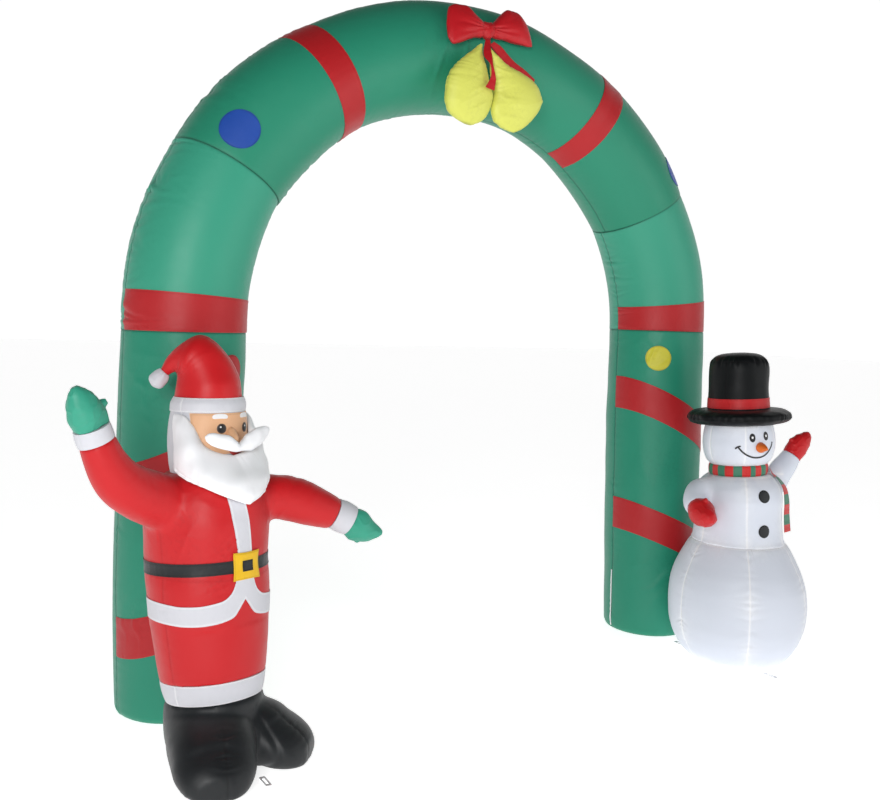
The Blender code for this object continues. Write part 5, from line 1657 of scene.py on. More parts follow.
def foot(heel, toe_way, size):
    """One foot from the heel to the toe, flat where it stands and rounded in above the floor."""
    ahead = level_way(toe_way)
    side = np.array([ahead[1], -ahead[0], 0.0])
    reaches, widths, heights = zip(*FOOT_SHAPE)
    reach = np.linspace(reaches[0], reaches[-1], 64)[:, None]
    angle = (np.arange(56) + 0.5)[None, :] * (2 * pi / 56)
    wide, height = (smooth(reach[:, 0], reaches, values)[:, None] for values in (widths, heights))
    widest = 0.40 * height
    above = widest + (height - widest) * np.sin(angle)
    below = widest * np.maximum(0.0, 1 + 1.5 * np.sin(angle))
    up = np.where(np.sin(angle) > 0, above, below)
    across = wide * size * np.where(up > 0, 1.0, 0.90) * np.cos(angle)
    points = (np.array([*heel, 0.0]) + ahead * (reach * size)[..., None] + side * across[..., None]
              + np.array([0.0, 0.0, 1.0]) * (up + 0 * reach)[..., None])
    points = moved(points, np.array(SANTA_HOLDER))
    rings, count = points.shape[:2]
    index = np.arange(rings * count).reshape(rings, count)
    quads = cells(np.concatenate([index, index[:, :1]], 1)).tolist()
    mesh = bpy.data.meshes.new("foot")
    ends = [index[0].tolist()[::-1], index[-1].tolist()]
    mesh.from_pydata(points.reshape(-1, 3).tolist(), [], quads + ends)
    return placed("foot", mesh)


def body_radius(height):
    """A soft outline that clears him from the chest to the hat, for the back of the beard."""
    return smooth(height, (0.70, 0.74, 0.78, 0.82, 0.86, 0.90, 0.97),
                  (0.176, 0.167, 0.148, 0.128, 0.1175, 0.1130, 0.1070))


def sew_head():
    size = sidebar_sizes().figure_step
    head = head_form()
    item = stack_mesh("santa_head_sewn", head, HEAD_ROWS, size, 0.110, COAT_SEAMS)
    finished(item, "trim white nylon", "santa_head")

    # the face panel, from the hat band down to the mouth
    rows = np.linspace(0.8560, 0.9700, 36)[:, None]
    limit = np.radians(smooth(rows, (0.856, 0.866, 0.880, 0.900, 0.930, 0.970), (17, 31, 43, 52, 58, 64)))
    face = patch_mesh("santa_face_sewn", head, rows, limit * np.linspace(-1, 1, 60)[None, :], 0.0005, 0.0016)
    finished(face, "skin nylon", "santa_face")
    lift = 0.0022

    # the stuffed nose: narrow between the eyes and round at its tip
    rows = [(level_point(santa_axes, 0.916, -0.001, reach, up), wide, deep) for reach, up, wide, deep in (
        (0.1080, 0.0130, 0.0050, 0.0030), (0.1120, 0.0060, 0.0115, 0.0080), (0.1165, -0.0060, 0.0150, 0.0135),
        (0.1205, -0.0180, 0.0165, 0.0170), (0.1205, -0.0270, 0.0150, 0.0160),
        (0.1175, -0.0345, 0.0090, 0.0100), (0.1155, -0.0370, 0.0035, 0.0045),
    )]
    item = limb("santa_nose_stuffed", rows, (1, 0, 0), SANTA_HOLDER, 0.0022, 0.014)
    finished(item, "skin nylon")

    for around, height, brow, name in ((-15.7, 0.9275, -18.0, "near"), (30.5, 0.9265, 30.0, "far")):
        for part, half, off, rise, dome, paint in (
            ("eye", 0.0138, (0.0, 0.0), 0.0, 0.0014, "printed brown"),
            ("eye_black", 0.0108, (0.0, 0.0), 0.0014, 0.0009, "printed black"),
            ("eye_light", 0.0026, (-0.0036, 0.0046), 0.0024, 0.0007, "printed white"),
        ):
            across, up = disc_grid(half, half, 17)
            across, up = across + off[0], up + off[1]
            places = pinned(head, height, radians(around), across, up)
            flat = np.clip(1 - ((across - off[0]) ** 2 + (up - off[1]) ** 2) / half ** 2, 0, 1)
            thick = 0.0004 + dome * flat ** 0.5
            item = patch_mesh(f"santa_{part}_{name}", head, *places, lift=lift + rise, thick=thick)
            finished(item, paint)
        u, v = np.meshgrid(np.linspace(-1, 1, 25), np.linspace(-1, 1, 9))
        ends = np.clip(1 - np.abs(u) ** 5, 0, 1) ** 0.5
        arch = 0.0022 * (1 - u * u)
        places = pinned(head, 0.9600, radians(brow), 0.0220 * u, 0.0066 * v * ends + arch)
        item = patch_mesh(f"santa_brow_{name}", head, *places, lift=lift, thick=0.0012)
        finished(item, "printed white")

    u, v = np.meshgrid(np.linspace(-1, 1, 33), np.linspace(0, 1, 9))
    low = 0.004 - 0.0150 * np.clip(1 - u * u, 0, 1) ** 0.7
    places = pinned(head, 0.8590, radians(12.5), 0.031 * u, 0.009 + (low - 0.010) * v)
    item = patch_mesh("santa_mouth", head, *places, lift=lift + 0.0002, thick=0.0012)
    finished(item, "printed red")


def sew_beard():
    """The stuffed beard with its hollow back, and the moustache over it."""
    arc, top, low, most = (np.array(column, float) for column in zip(*BEARD_ROWS))
    around = np.linspace(-90, 90, 176)[None, :]
    share = np.linspace(0, 1, 64)[:, None]
    upper, lower, full = (smooth(np.abs(around), arc, values) for values in (top, low, most))
    height = upper + (lower - upper) * share

    def ring(level):
        middle, front, side = santa_axes(level)
        rest = np.maximum(body_radius(level), 0.1060)[..., None] + CLEAR + 0.0025
        return middle, front * rest, side * rest

    bulge = 0.0016 + full * np.sin(pi * (0.016 + 0.930 * share)) ** 0.62 * (0.70 + 0.30 * share)
    bulge = np.maximum(bulge, 0.0012)
    form = Form(ring, plain, SANTA_HOLDER)
    spots = form.base(height + 0 * around, np.radians(around) + 0 * height)
    edge_low, edge_high = (lower - height) * -1, upper - height
    run = np.radians(around) * 0.16 + 0 * height
    soft = 0.0016 * drift(spots, 0.075, 671) + 0.0012 * drift(spots * np.array([1.6, 1.6, 0.6]), 0.060, 672)
    tucks = 0.0022 * np.exp(-np.abs(edge_low) / 0.020) * gathers(run, 0.024, 673)
    tucks = tucks + 0.0014 * np.exp(-np.abs(edge_high) / 0.016) * gathers(run, 0.026, 675)
    line = 0.0035 * np.exp(-((np.abs(edge_low) - 0.0075) / 0.0030) ** 2)
    folded = (soft + tucks) * np.clip(bulge / 0.010, 0, 1)
    thick = np.maximum(0.0012, bulge + folded - line * np.clip(bulge / 0.02, 0, 1))
    sunk = -0.0027 * np.exp(-share / 0.07)
    item = patch_mesh("santa_beard_stuffed", form, height, np.radians(around), sunk, thick)
    finished(item, "beard white nylon", "santa_beard")

    rows = [(level_point(santa_axes, 0.89, *place), tall, deep) for *place, tall, deep in (
        (-0.0950, 0.122, 0.019, 0.003, 0.003), (-0.0890, 0.126, 0.017, 0.0115, 0.007),
        (-0.0690, 0.134, 0.010, 0.0190, 0.011), (-0.0420, 0.141, 0.002, 0.0215, 0.014),
        (-0.0180, 0.143, -0.008, 0.0165, 0.013), (0.0010, 0.142, -0.014, 0.0115, 0.012),
        (0.0190, 0.143, -0.010, 0.0175, 0.014), (0.0460, 0.142, 0.001, 0.0250, 0.014),
        (0.0780, 0.138, 0.014, 0.0250, 0.012), (0.1020, 0.133, 0.023, 0.0180, 0.008),
        (0.1170, 0.130, 0.029, 0.005, 0.003),
    )]

    def folds(along, around, spots):
        relief = Relief(along).swell(spots, 0.050, 0.0012, 681)
        for seam in (0.0, pi):
            relief.stitch(0.018 * turn_gap(around, seam), along, 683, 0.0008, 0.0007, 0.014, 0.008, 0.002)
        return relief

    item = limb("santa_moustache_stuffed", rows, (0, 0, 1), SANTA_HOLDER, 0.0026, 0.018, folds)
    finished(item, "beard white nylon", "santa_moustache")


def sew_hat():
    size = sidebar_sizes().figure_step
    folds = ring_gathers(suit_folds(691, 0.0005), (0.9723, 1.0115), 693, 0.0006)
    form = stack_form(santa_axes, HAT_BAND_ROWS, folds, SANTA_HOLDER, (0.0010, 0.0016))
    item = stack_mesh("santa_hat_band_sewn", form, HAT_BAND_ROWS, size * 0.8, 0.105, COAT_SEAMS)
    finished(item, "trim white nylon", "santa_hat_band")

    holder = SANTA_HOLDER @ level_matrix(santa_axes, HAT_BAND_ROWS[-1][0]) @ Matrix.Rotation(HAT_FOLD, 4, "Z")
    rows = np.array(HAT_ROWS)
    outer = np.stack([rows[:, 0], 0 * rows[:, 0], rows[:, 1]], -1)
    inner = np.stack([rows[:, 2], 0 * rows[:, 0], rows[:, 3]], -1)
    middle, half = (outer + inner) / 2, (inner - outer) / 2
    run = lengths(middle, 0.004)

    def ring(along):
        way = smooth(along, run, half)
        radius = smooth(along, run, np.linalg.norm(half, axis=-1))[..., None]
        return smooth(along, run, middle), unit(way) * radius, np.array([0.0, 1.0, 0.0]) * radius

    # the station of the topmost row, where the hat folds over
    fold_run = float(run[5])

    def hat_folds(along, around, spots):
        relief = Relief(along).swell(spots, 0.12, 0.0018, 701)
        near = np.exp(-((along - fold_run) / 0.045) ** 2) * np.exp(-turn_gap(around, 0.0) / 0.9)
        relief.height += 0.0030 * near * gathers(along + 0.02 * np.cos(around * 2), 0.026, 703)
        relief.stitch(0.07 * turn_gap(around, radians(165)), along, 705, 0.0008, 0.0010, 0.020, 0.020)
        relief.stitch(along, around * 0.09, 709, 0.0, 0.0009, 0.020, 0.020)
        relief.pull = np.maximum(relief.pull, near)
        return relief

    form = Form(ring, hat_folds, holder)
    rows_of = steps(0.0, float(run[-1]), size * 0.55, (fold_run,), size * 0.35, 0.05)
    item = tube_mesh("santa_hat_sewn", form, rows_of, turns(0.075, size * 0.8))
    finished(item, "suit red nylon", "santa_hat")

    end = half[-1] / np.linalg.norm(half[-1])
    on = np.cross(end, np.array([0.0, -1.0, 0.0]))
    on = -on if on[2] > 0 else on
    reach, radius = zip((GAP, 0.0150), (0.008, 0.0190), (0.020, 0.0232), (0.034, 0.0245),
                        (0.043, 0.0205), (0.049, 0.0120), (0.0515, 0.0060))

    def ball_ring(along):
        size_here = smooth(along, reach, radius)[..., None]
        return middle[-1] + on * along[..., None], end * size_here, np.array([0.0, 1.0, 0.0]) * size_here

    def ball_folds(along, around, spots):
        relief = Relief(along).swell(spots, 0.045, 0.0016, 711)
        relief.height += 0.0020 * gathers(around * 0.03, 0.020, 713) * np.exp(-((along - 0.004) / 0.014) ** 2)
        relief.pull = np.maximum(relief.pull, np.exp(-along / 0.02))
        return relief

    rows_of = steps(GAP, 0.0515, 0.0028, (GAP, 0.0515), 0.0012, 0.010)
    item = tube_mesh("santa_hat_end_stuffed", Form(ball_ring, ball_folds, holder), rows_of,
                     turns(0.024, 0.0030))
    finished(item, "trim white nylon", "santa_pompom")


SANTA_ARMS = {
    # way over the floor, then reach, height, half width, half depth of arm, cuff, mitten and thumb
    "raised": ((-1.0, -0.02), (
        (0.070, 0.706, 0.0780, 0.0900), (0.120, 0.720, 0.0760, 0.0860), (0.166, 0.735, 0.0745, 0.0785),
        (0.228, 0.761, 0.0700, 0.0700),
        (0.280, 0.797, 0.0625, 0.0625), (0.321, 0.843, 0.0560, 0.0560), (0.354, 0.908, 0.0490, 0.0490),
    ), (
        (0.354, 0.908, 0.0490, 0.0490), (0.3625, 0.927, 0.0500, 0.0500), (0.370, 0.946, 0.0480, 0.0480),
    ), (
        (0.370, 0.946, 0.0470, 0.0400), (0.383, 0.978, 0.0500, 0.0400), (0.402, 1.012, 0.0400, 0.0330),
        (0.415, 1.038, 0.0240, 0.0210), (0.421, 1.052, 0.0110, 0.0100),
    ), (
        (0.372, 0.978, 0.0190, 0.0190), (0.344, 1.005, 0.0150, 0.0150), (0.330, 1.014, 0.0090, 0.0090),
    )),
    "low": ((cos(radians(28)), -sin(radians(28))), (
        (0.070, 0.738, 0.0680, 0.0800), (0.120, 0.732, 0.0660, 0.0760), (0.172, 0.724, 0.0640, 0.0680),
        (0.230, 0.713, 0.0635, 0.0635),
        (0.281, 0.700, 0.0620, 0.0620), (0.335, 0.681, 0.0550, 0.0550), (0.377, 0.663, 0.0465, 0.0465),
    ), (
        (0.377, 0.663, 0.0455, 0.0455), (0.401, 0.651, 0.0480, 0.0480), (0.425, 0.6385, 0.0460, 0.0460),
    ), (
        (0.425, 0.6385, 0.0440, 0.0360), (0.452, 0.624, 0.0480, 0.0360), (0.487, 0.608, 0.0330, 0.0280),
        (0.520, 0.600, 0.0150, 0.0130), (0.530, 0.598, 0.0070, 0.0060),
    ), (
        (0.458, 0.606, 0.0160, 0.0160), (0.450, 0.583, 0.0120, 0.0120), (0.448, 0.574, 0.0050, 0.0050),
    )),
}


def sleeve_folds(seed, bend, end, depth):
    """Folds of a sleeve: creases where it bends, gathers off its cuff and a seam along it."""
    def folds(along, around, spots):
        relief = Relief(along).swell(spots, 0.15, 0.0022, seed)
        near = np.exp(-((along - bend) / 0.055) ** 2)
        inner = 0.5 + 0.5 * np.cos(around - 1.3)
        relief.height += depth * near * inner * gathers(along + 0.02 * around, 0.034, seed + 1)
        relief.stitch(end - along, around * 0.055, seed + 3, 0.0018, 0.0020, 0.022, 0.026)
        relief.stitch(0.06 * turn_gap(around, 0.6), along, seed + 5, 0.0016, 0.0014, 0.022, 0.022)
        relief.pull = np.maximum(relief.pull, near * 0.8)
        return relief

    return folds


# distance between the corners of a mitten's cloth before its thumb has grown on
HAND_STEP = 0.0045


def hand_folds(seed):
    def heights(spots):
        relief = Relief(spots[:, 0]).swell(spots, 0.055, 0.0016, seed)
        relief.height += 0.0016 * (creases(spots, 0.045, seed + 1) - 0.3)
        relief.pull += 0.35
        return relief

    return heights


def arm_parts(name):
    """The sleeve, cuff and mitten of an arm, and its thumb, as forms with their two ends."""
    way, arm, cuff, mitten, thumb = SANTA_ARMS[name]
    way = level_way(way)
    sideways = np.cross([0.0, 0.0, 1.0], way)
    shoulder = santa_axes(SHOULDER_LEVEL)[0]
    base = np.array([shoulder[0], shoulder[1], 0.0])

    def along(rows):
        return [(base + way * reach + np.array([0, 0, height]), deep, wide)
                for reach, height, wide, deep in rows]

    end = sum(hypot(b[0] - a[0], b[1] - a[1]) for a, b in zip(arm, arm[1:]))
    seed = 721 if name == "raised" else 741
    bend, depth = (0.215, 0.0016) if name == "raised" else (0.165, 0.0040)
    folds = [sleeve_folds(seed, bend, end, depth), suit_folds(seed + 9, 0.0006), plain]
    made = limb_forms([along(arm), along(cuff), along(mitten)], sideways, SANTA_HOLDER, folds)
    return made + limb_forms([along(thumb)], sideways, SANTA_HOLDER, [plain])


def sew_santa_arms():
    """Cuffs and mittens at the ends of both sleeves."""
    size = sidebar_sizes().figure_step
    for name, seed in (("raised", 732), ("low", 752)):
        _sleeve, cuff, mitten, thumb = arm_parts(name)
        item = limb_mesh(f"santa_cuff_{name}_sewn", cuff, size * 0.6, 0.049)
        finished(item, "trim white nylon", f"santa_cuff_{name}")
        hand = limb_mesh("hand", mitten, HAND_STEP, 0.044)
        finger = limb_mesh("thumb", thumb, HAND_STEP, 0.015)
        item = grown_together(f"santa_mitten_{name}_stuffed", [hand, finger], 0.0026, 2)
        worked(item, hand_folds(seed))
        finished(item, "mitten green nylon", f"santa_mitten_{name}")


# ---------------------------------------------------------------- snowman

SNOWMAN_HOLDER = Matrix.Translation(SNOWMAN_AT + FOOTPRINT_SHIFT) @ Matrix.Rotation(SNOWMAN_TURN, 4, "Z")
SNOWMAN_ARMS = (
    # name, seed of the folds, side way, sleeve, mitten, thumb: each a row of place, half width, half height
    ("far", 881, (0, 1, 0), (
        ((0.075, 0, 0.590), 0.052, 0.052), ((0.138, 0, 0.650), 0.051, 0.051),
        ((0.177, 0, 0.697), 0.047, 0.047), ((0.212, 0, 0.740), 0.042, 0.042),
        ((0.232, 0, 0.7660), 0.0385, 0.0385),
    ), (
        ((0.232, 0, 0.7660), 0.036, 0.036), ((0.254, 0, 0.792), 0.034, 0.042),
        ((0.279, 0, 0.820), 0.030, 0.038), ((0.300, 0, 0.842), 0.020, 0.024),
        ((0.311, 0, 0.854), 0.008, 0.009),
    ), (
        ((0.254, 0, 0.800), 0.016, 0.016), ((0.234, 0, 0.824), 0.013, 0.013),
        ((0.227, 0, 0.833), 0.005, 0.005),
    )),
    ("near", 901, (1, 0, 0), (
        ((-0.085, 0.010, 0.640), 0.045, 0.045), ((-0.136, 0.006, 0.643), 0.046, 0.046),
        ((-0.185, -0.004, 0.630), 0.048, 0.048), ((-0.206, -0.024, 0.606), 0.046, 0.046),
        ((-0.212, -0.045, 0.588), 0.044, 0.044),
    ), (
        ((-0.212, -0.045, 0.588), 0.042, 0.042), ((-0.213, -0.074, 0.575), 0.047, 0.050),
        ((-0.213, -0.108, 0.564), 0.039, 0.042), ((-0.213, -0.138, 0.556), 0.023, 0.025),
        ((-0.213, -0.150, 0.552), 0.008, 0.009),
    ), (
        ((-0.213, -0.080, 0.590), 0.016, 0.016), ((-0.211, -0.096, 0.620), 0.011, 0.011),
        ((-0.210, -0.100, 0.628), 0.005, 0.005),
    )),
)


def snowman_axes(height):
    """The middle of a level ring and its ways to the front and to his left hand: the base is upright."""
    height = np.asarray(height, float)
    above = np.maximum(0.0, height - SNOWMAN_WAIST)
    share = np.minimum(1.0, above / 0.25)
    back, side = SNOWMAN_BACK_LEAN * share, SNOWMAN_SIDE_LEAN * share
    middle = np.stack([-above * 0.022, above * 0.010, height], -1)
    front = np.stack([-np.sin(back) * np.sin(side), -np.cos(back), np.sin(back) * np.cos(side)], -1)
    return middle, front, np.stack([np.cos(side), np.zeros_like(side), np.sin(side)], -1)


def snow_folds(seed, radius, rings=(), tuck=0.0018, pitch=0.024, ring_tuck=0.0014):
    """Folds of the snowman's cloth: upright seams with gathers, and gathers off the level seams."""
    def folds(height, around, spots):
        relief = Relief(height).swell(spots, 0.20, 0.0018, seed)
        for k, seam in enumerate(SNOW_SEAMS):
            relief.stitch(radius * turn_gap(around, seam), height, seed + 3 + k, 0.0022, tuck, pitch, 0.026)
        for k, level in enumerate(rings):
            relief.stitch(height - level, around * radius, seed + 13 + k, 0.0, ring_tuck, 0.026, 0.024)
        return relief

    return folds


SNOW_HEAD_FOLDS = snow_folds(851, 0.13, (0.7425, 0.8937), 0.0012, 0.020, 0.0012)
TORSO_FOLDS = snow_folds(831, 0.16, (0.4480, 0.7032))


def sew_snowman():
    """Base, torso and head, one on the other."""
    size = sidebar_sizes().figure_step
    for node, rows, radius, folds, draw in (
        ("snowman_base", BASE_ROWS, 0.22,
         snow_folds(811, 0.25, (0.012, 0.4477), 0.0048, 0.030, 0.0040), (0.0, 0.004)),
        ("snowman_head", SNOW_HEAD_ROWS, 0.13, SNOW_HEAD_FOLDS, (0, 0)),
    ):
        form = stack_form(snowman_axes, rows, folds, SNOWMAN_HOLDER, draw)
        item = stack_mesh(f"{node}_sewn", form, rows, size, radius, SNOW_SEAMS)
        finished(item, "snow white nylon", node)
    sew_snowman_torso()


def snow_form(rows, folds):
    return stack_form(snowman_axes, rows, folds, SNOWMAN_HOLDER)


def line_on(name, form, places, half, lift, thick, radius):
    """A narrow printed line along places on a form, given as heights and turns in degrees."""
    heights, around = np.array([p[0] for p in places]), np.radians([p[1] for p in places])
    run = np.concatenate([[0], np.cumsum(np.hypot(np.diff(heights), np.diff(around) * radius))])
    at = np.linspace(0, run[-1], 70)
    line = smooth(at, run, np.stack([heights, around * radius], -1), loose=True)
    ahead = unit(np.gradient(line, at, axis=0))
    width = half * np.clip(np.minimum(at, run[-1] - at) / half, 0.35, 1)
    share = np.linspace(-1, 1, 5)[None, :]
    height = line[:, :1] - ahead[:, 1:] * width[:, None] * share
    turn = (line[:, 1:] + ahead[:, :1] * width[:, None] * share) / radius
    return patch_mesh(name, form, height, turn, lift, thick)


def sew_snowman_face():
    head = snow_form(SNOW_HEAD_ROWS, SNOW_HEAD_FOLDS)
    for height, around, name in ((0.8515, -13.2, "near"), (0.8555, 11.3, "far")):
        for part, wide, tall, off, rise, paint in (
            ("eye", 0.0110, 0.0162, 0.0, 0.0, "printed black"),
            ("eye_white", 0.0036, 0.0046, 0.0010, 0.0010, "printed white"),
        ):
            across, up = disc_grid(wide, tall, 17)
            places = pinned(head, height, radians(around), across, up + off)
            item = patch_mesh(f"snowman_{part}_{name}", head, *places, lift=0.0006 + rise, thick=0.0008)
            finished(item, paint)
    for name, places in (
        ("smile", ((0.8185, -35.5), (0.8020, -29.5), (0.7880, -21.5), (0.7790, -12.0), (0.7762, -3.0),
                   (0.7800, 8.0), (0.7925, 17.0), (0.8090, 22.5), (0.8264, 26.3))),
        ("smile_end_near", ((0.8105, -40.0), (0.8165, -37.5), (0.8205, -34.0), (0.8210, -30.8))),
        ("smile_end_far", ((0.8262, 24.6), (0.8285, 26.0), (0.8305, 27.4))),
    ):
        half = 0.0040 if "far" in name else 0.0030
        item = line_on(f"snowman_{name}", head, places, half, 0.0007, 0.0008, 0.1315)
        finished(item, "printed black")

    rows = [(level_point(snowman_axes, 0.815, 0.0, reach, up), wide, wide) for reach, up, wide in (
        (0.1365, 0.0, 0.0190), (0.1400, 0.0, 0.0195), (0.1490, 0.0, 0.0170), (0.1580, 0.0, 0.0135),
        (0.1670, -0.001, 0.0100), (0.1750, -0.002, 0.0062), (0.1790, -0.003, 0.0035),
    )]

    def nose_folds(along, around, spots):
        relief = Relief(along).swell(spots, 0.030, 0.0006, 871)
        relief.stitch(0.014 * turn_gap(around, 0.5), along, 873, 0.0008, 0.0007, 0.010, 0.010)
        return relief

    item = limb("snowman_nose_stuffed", rows, (1, 0, 0), SNOWMAN_HOLDER, 0.0020, 0.016, nose_folds)
    finished(item, "nose orange nylon", "snowman_nose")

    torso = snow_form(TORSO_ROWS, TORSO_FOLDS)
    for name, height in (("upper", 0.6374), ("lower", 0.5108)):
        across, up = disc_grid(0.0235, 0.0235, 25)
        places = pinned(torso, height, radians(0.3), across, up)
        dome = np.clip(1 - (across ** 2 + up ** 2) / 0.0235 ** 2, 0, 1) ** 0.5
        item = patch_mesh(f"snowman_button_{name}", torso, *places, lift=0.0006, thick=0.0008 + 0.0012 * dome)
        finished(item, "boot black nylon")


def snow_arm_folds(seed):
    def folds(along, around, spots):
        relief = Relief(along).swell(spots, 0.10, 0.0018, seed)
        relief.stitch(0.045 * turn_gap(around, 0.9), along, seed + 1, 0.0016, 0.0014, 0.020, 0.020)
        relief.stitch(0.045 * turn_gap(around, 0.9 - pi), along, seed + 3, 0.0016, 0.0014, 0.020, 0.020)
        return relief

    return folds


def sew_snowman_torso():
    """Torso and both sleeves in one skin, which fills out at the shoulders."""
    size = sidebar_sizes().figure_step
    torso = snow_form(TORSO_ROWS, TORSO_FOLDS)
    parts = [stack_mesh("torso", torso, TORSO_ROWS, size * 0.8, 0.160, SNOW_SEAMS)]
    for _name, seed, hint, arm, mitten, _thumb in SNOWMAN_ARMS:
        sleeve = limb_forms([list(arm), list(mitten)], hint, SNOWMAN_HOLDER, [snow_arm_folds(seed), plain])[0]
        parts.append(limb_mesh("sleeve", sleeve, size * 0.85, 0.047))
    centres = ((-0.140, 0.004, 0.645), (0.138, 0.0, 0.655))
    item = with_sleeves("snowman_torso_sewn", parts, 0.0048, torso, snowman_axes, centres, (0.088, 0.180),
                        0.4)
    finished(item, "snow white nylon", "snowman_torso", "snowman_arm_near", "snowman_arm_far")


def sew_snowman_arms():
    """The mittens at the ends of both sleeves."""
    for name, seed, hint, _arm, mitten, thumb in SNOWMAN_ARMS:
        hand = limb("hand", mitten, hint, SNOWMAN_HOLDER, HAND_STEP, 0.042)
        finger = limb("thumb", thumb, hint, SNOWMAN_HOLDER, HAND_STEP, 0.014)
        item = grown_together(f"snowman_mitten_{name}_stuffed", [hand, finger], 0.0028, 3)
        worked(item, hand_folds(seed + 11))
        finished(item, "suit red nylon", f"snowman_mitten_{name}")


def sew_snowman_hat():
    size = sidebar_sizes().figure_step

    def brim_folds(height, around, spots):
        relief = Relief(height).swell(spots, 0.11, 0.0028, 921)
        edge = np.exp(-((height - 0.924) / 0.012) ** 2)
        relief.height += 0.0030 * edge * gathers(around * 0.18, 0.034, 923)
        relief.height += 0.0022 * drift(spots, 0.045, 925)
        relief.stitch((height - 0.921) * 2.0, around * 0.19, 927, 0.0018, 0.0016, 0.026, 0.012)
        relief.pull = np.maximum(relief.pull, 0.6 * edge)
        return relief

    form = snow_form(BRIM_ROWS, brim_folds)
    item = stack_mesh("snowman_brim_stuffed", form, BRIM_ROWS, size * 0.45, 0.170)
    finished(item, "hat black nylon", "snowman_brim")

    def crown_folds(height, around, spots):
        relief = Relief(height).swell(spots, 0.11, 0.0018, 931)
        rim = np.exp(-((height - 1.131) / 0.014) ** 2)
        relief.height += 0.0046 * rim * gathers(around * 0.105, 0.030, 933)
        relief.stitch(height - 1.131, around * 0.105, 935, 0.0012, 0.0012, 0.026, 0.014)
        for seam in (radians(-60), radians(60), radians(180)):
            relief.stitch(0.11 * turn_gap(around, seam), height, 937, 0.0012, 0.0008, 0.024, 0.016)
        relief.pull = np.maximum(relief.pull, rim)
        return relief

    form = snow_form(CROWN_ROWS, crown_folds)
    item = stack_mesh("snowman_crown_sewn", form, CROWN_ROWS, size * 0.7, 0.110)
    finished(item, "hat black nylon", "snowman_crown")
    level, half = 0.9745, 0.0185
    rows = np.linspace(level - half, level + half, 10)[:, None]
    item = patch_mesh("snowman_hat_ribbon_sewn", form, rows, turns(0.113, 0.0045)[None, :], 0.0008,
                      closed=True)
    finished(item, "suit red nylon", "snowman_hat_ribbon")


def sew_scarf():
    size = sidebar_sizes().figure_step

    def folds(height, around, spots):
        relief = Relief(height).swell(spots, 0.070, 0.0010, 941)
        near = np.exp(-np.abs(height - 0.7228) / 0.02)
        relief.height += 0.0010 * gathers(around * 0.108, 0.0283, 943) * near
        return relief

    form = stack_form(snowman_axes, SCARF_ROWS, folds, SNOWMAN_HOLDER, (0.0, 0.0))
    item = stack_mesh("snowman_scarf_sewn", form, SCARF_ROWS, size * 0.6, 0.108)
    finished(item, "scarf nylon", "snowman_scarf")

    around, rows = radians(56.0), []
    for height, radius, half_wide, turned in (
        (0.7230, 0.1150, 0.016, 0), (0.7040, 0.1240, 0.018, 6), (0.6850, 0.1450, 0.020, 12),
        (0.6500, 0.1690, 0.023, 20), (0.6100, 0.1765, 0.025, 24), (0.5500, 0.1770, 0.027, 26),
        (0.4920, 0.1800, 0.028, 28),
    ):
        middle, front, side = snowman_axes(height)
        angle = around - radians(turned)
        place = middle + (front * cos(around) + side * sin(around)) * radius
        face = front * cos(angle) + side * sin(angle)
        rows.append((place, np.cross(face, [0.0, 0.0, 1.0]), half_wide, face))
    form, run = strip_form(rows, 0.002, SNOWMAN_HOLDER, wave=0.0006)
    item = tube_mesh("snowman_scarf_end_sewn", form, np.linspace(0, run, 90), turns(0.024, 0.0036))
    finished(item, "scarf end nylon", "snowman_scarf_tail")


# ---------------------------------------------------------------- tie loops

def sew_ties():
    """Flat webbing loops on the floor, each with its slot, their edges a little rounded."""
    for node, (x, y) in TIES.items():
        angles = [2 * pi * i / 48 for i in range(48)]
        rim = np.array([[np.sign(part) * abs(part) ** 0.25 for part in (cos(angle), sin(angle))]
                        for angle in angles])
        outer, inner = rim * (TIE_WIDE / 2, TIE_LONG / 2), rim * (TIE_SLOT_WIDE / 2, TIE_SLOT_LONG / 2)
        loops = []
        for share, height in ((0.0, 0.0008), (0.06, 0.0), (0.94, 0.0), (1.0, 0.0008), (1.0, 0.0022),
                              (0.90, TIE_THICK), (0.5, TIE_THICK + 0.0002), (0.10, TIE_THICK), (0.0, 0.0022)):
            flat = outer + (inner - outer) * share
            loops.append(np.column_stack([flat, np.full(len(flat), height)]))
        points = np.array(loops) + np.array([x, y, 0.0]) + np.array(FOOTPRINT_SHIFT)
        count = len(rim)
        index = np.arange(len(loops) * count).reshape(len(loops), count)
        below, right = np.roll(index, -1, axis=0), np.roll(index, -1, axis=1)
        quads = np.stack([index, right, np.roll(below, -1, axis=1), below], -1).reshape(-1, 4)
        uv = points.reshape(-1, 3)[quads][..., :2]
        empty = np.zeros(points.shape[0] * points.shape[1])
        item = sewn(f"{node}_webbing", points.reshape(-1, 3), [quads], [uv], {"seam": empty, "pull": empty})
        finished(item, "white webbing", node)


# ---------------------------------------------------------------- studio

# the floor lies a little under the part, so that the two never share a surface
FLOOR_HALF, FLOOR_LEVEL = 40, -0.0004
# the camera that was fitted to the photograph
EYE = Vector((-1.87872, -2.89562, 1.24784))
EYE_YAW = radians(30.733)
EYE_ROLL = radians(1.8415)
EYE_SHIFT = -0.0895
KEY_AT, FILL_AT = (-3.4, -4.2, 2.1), (3.6, -4.2, 1.6)


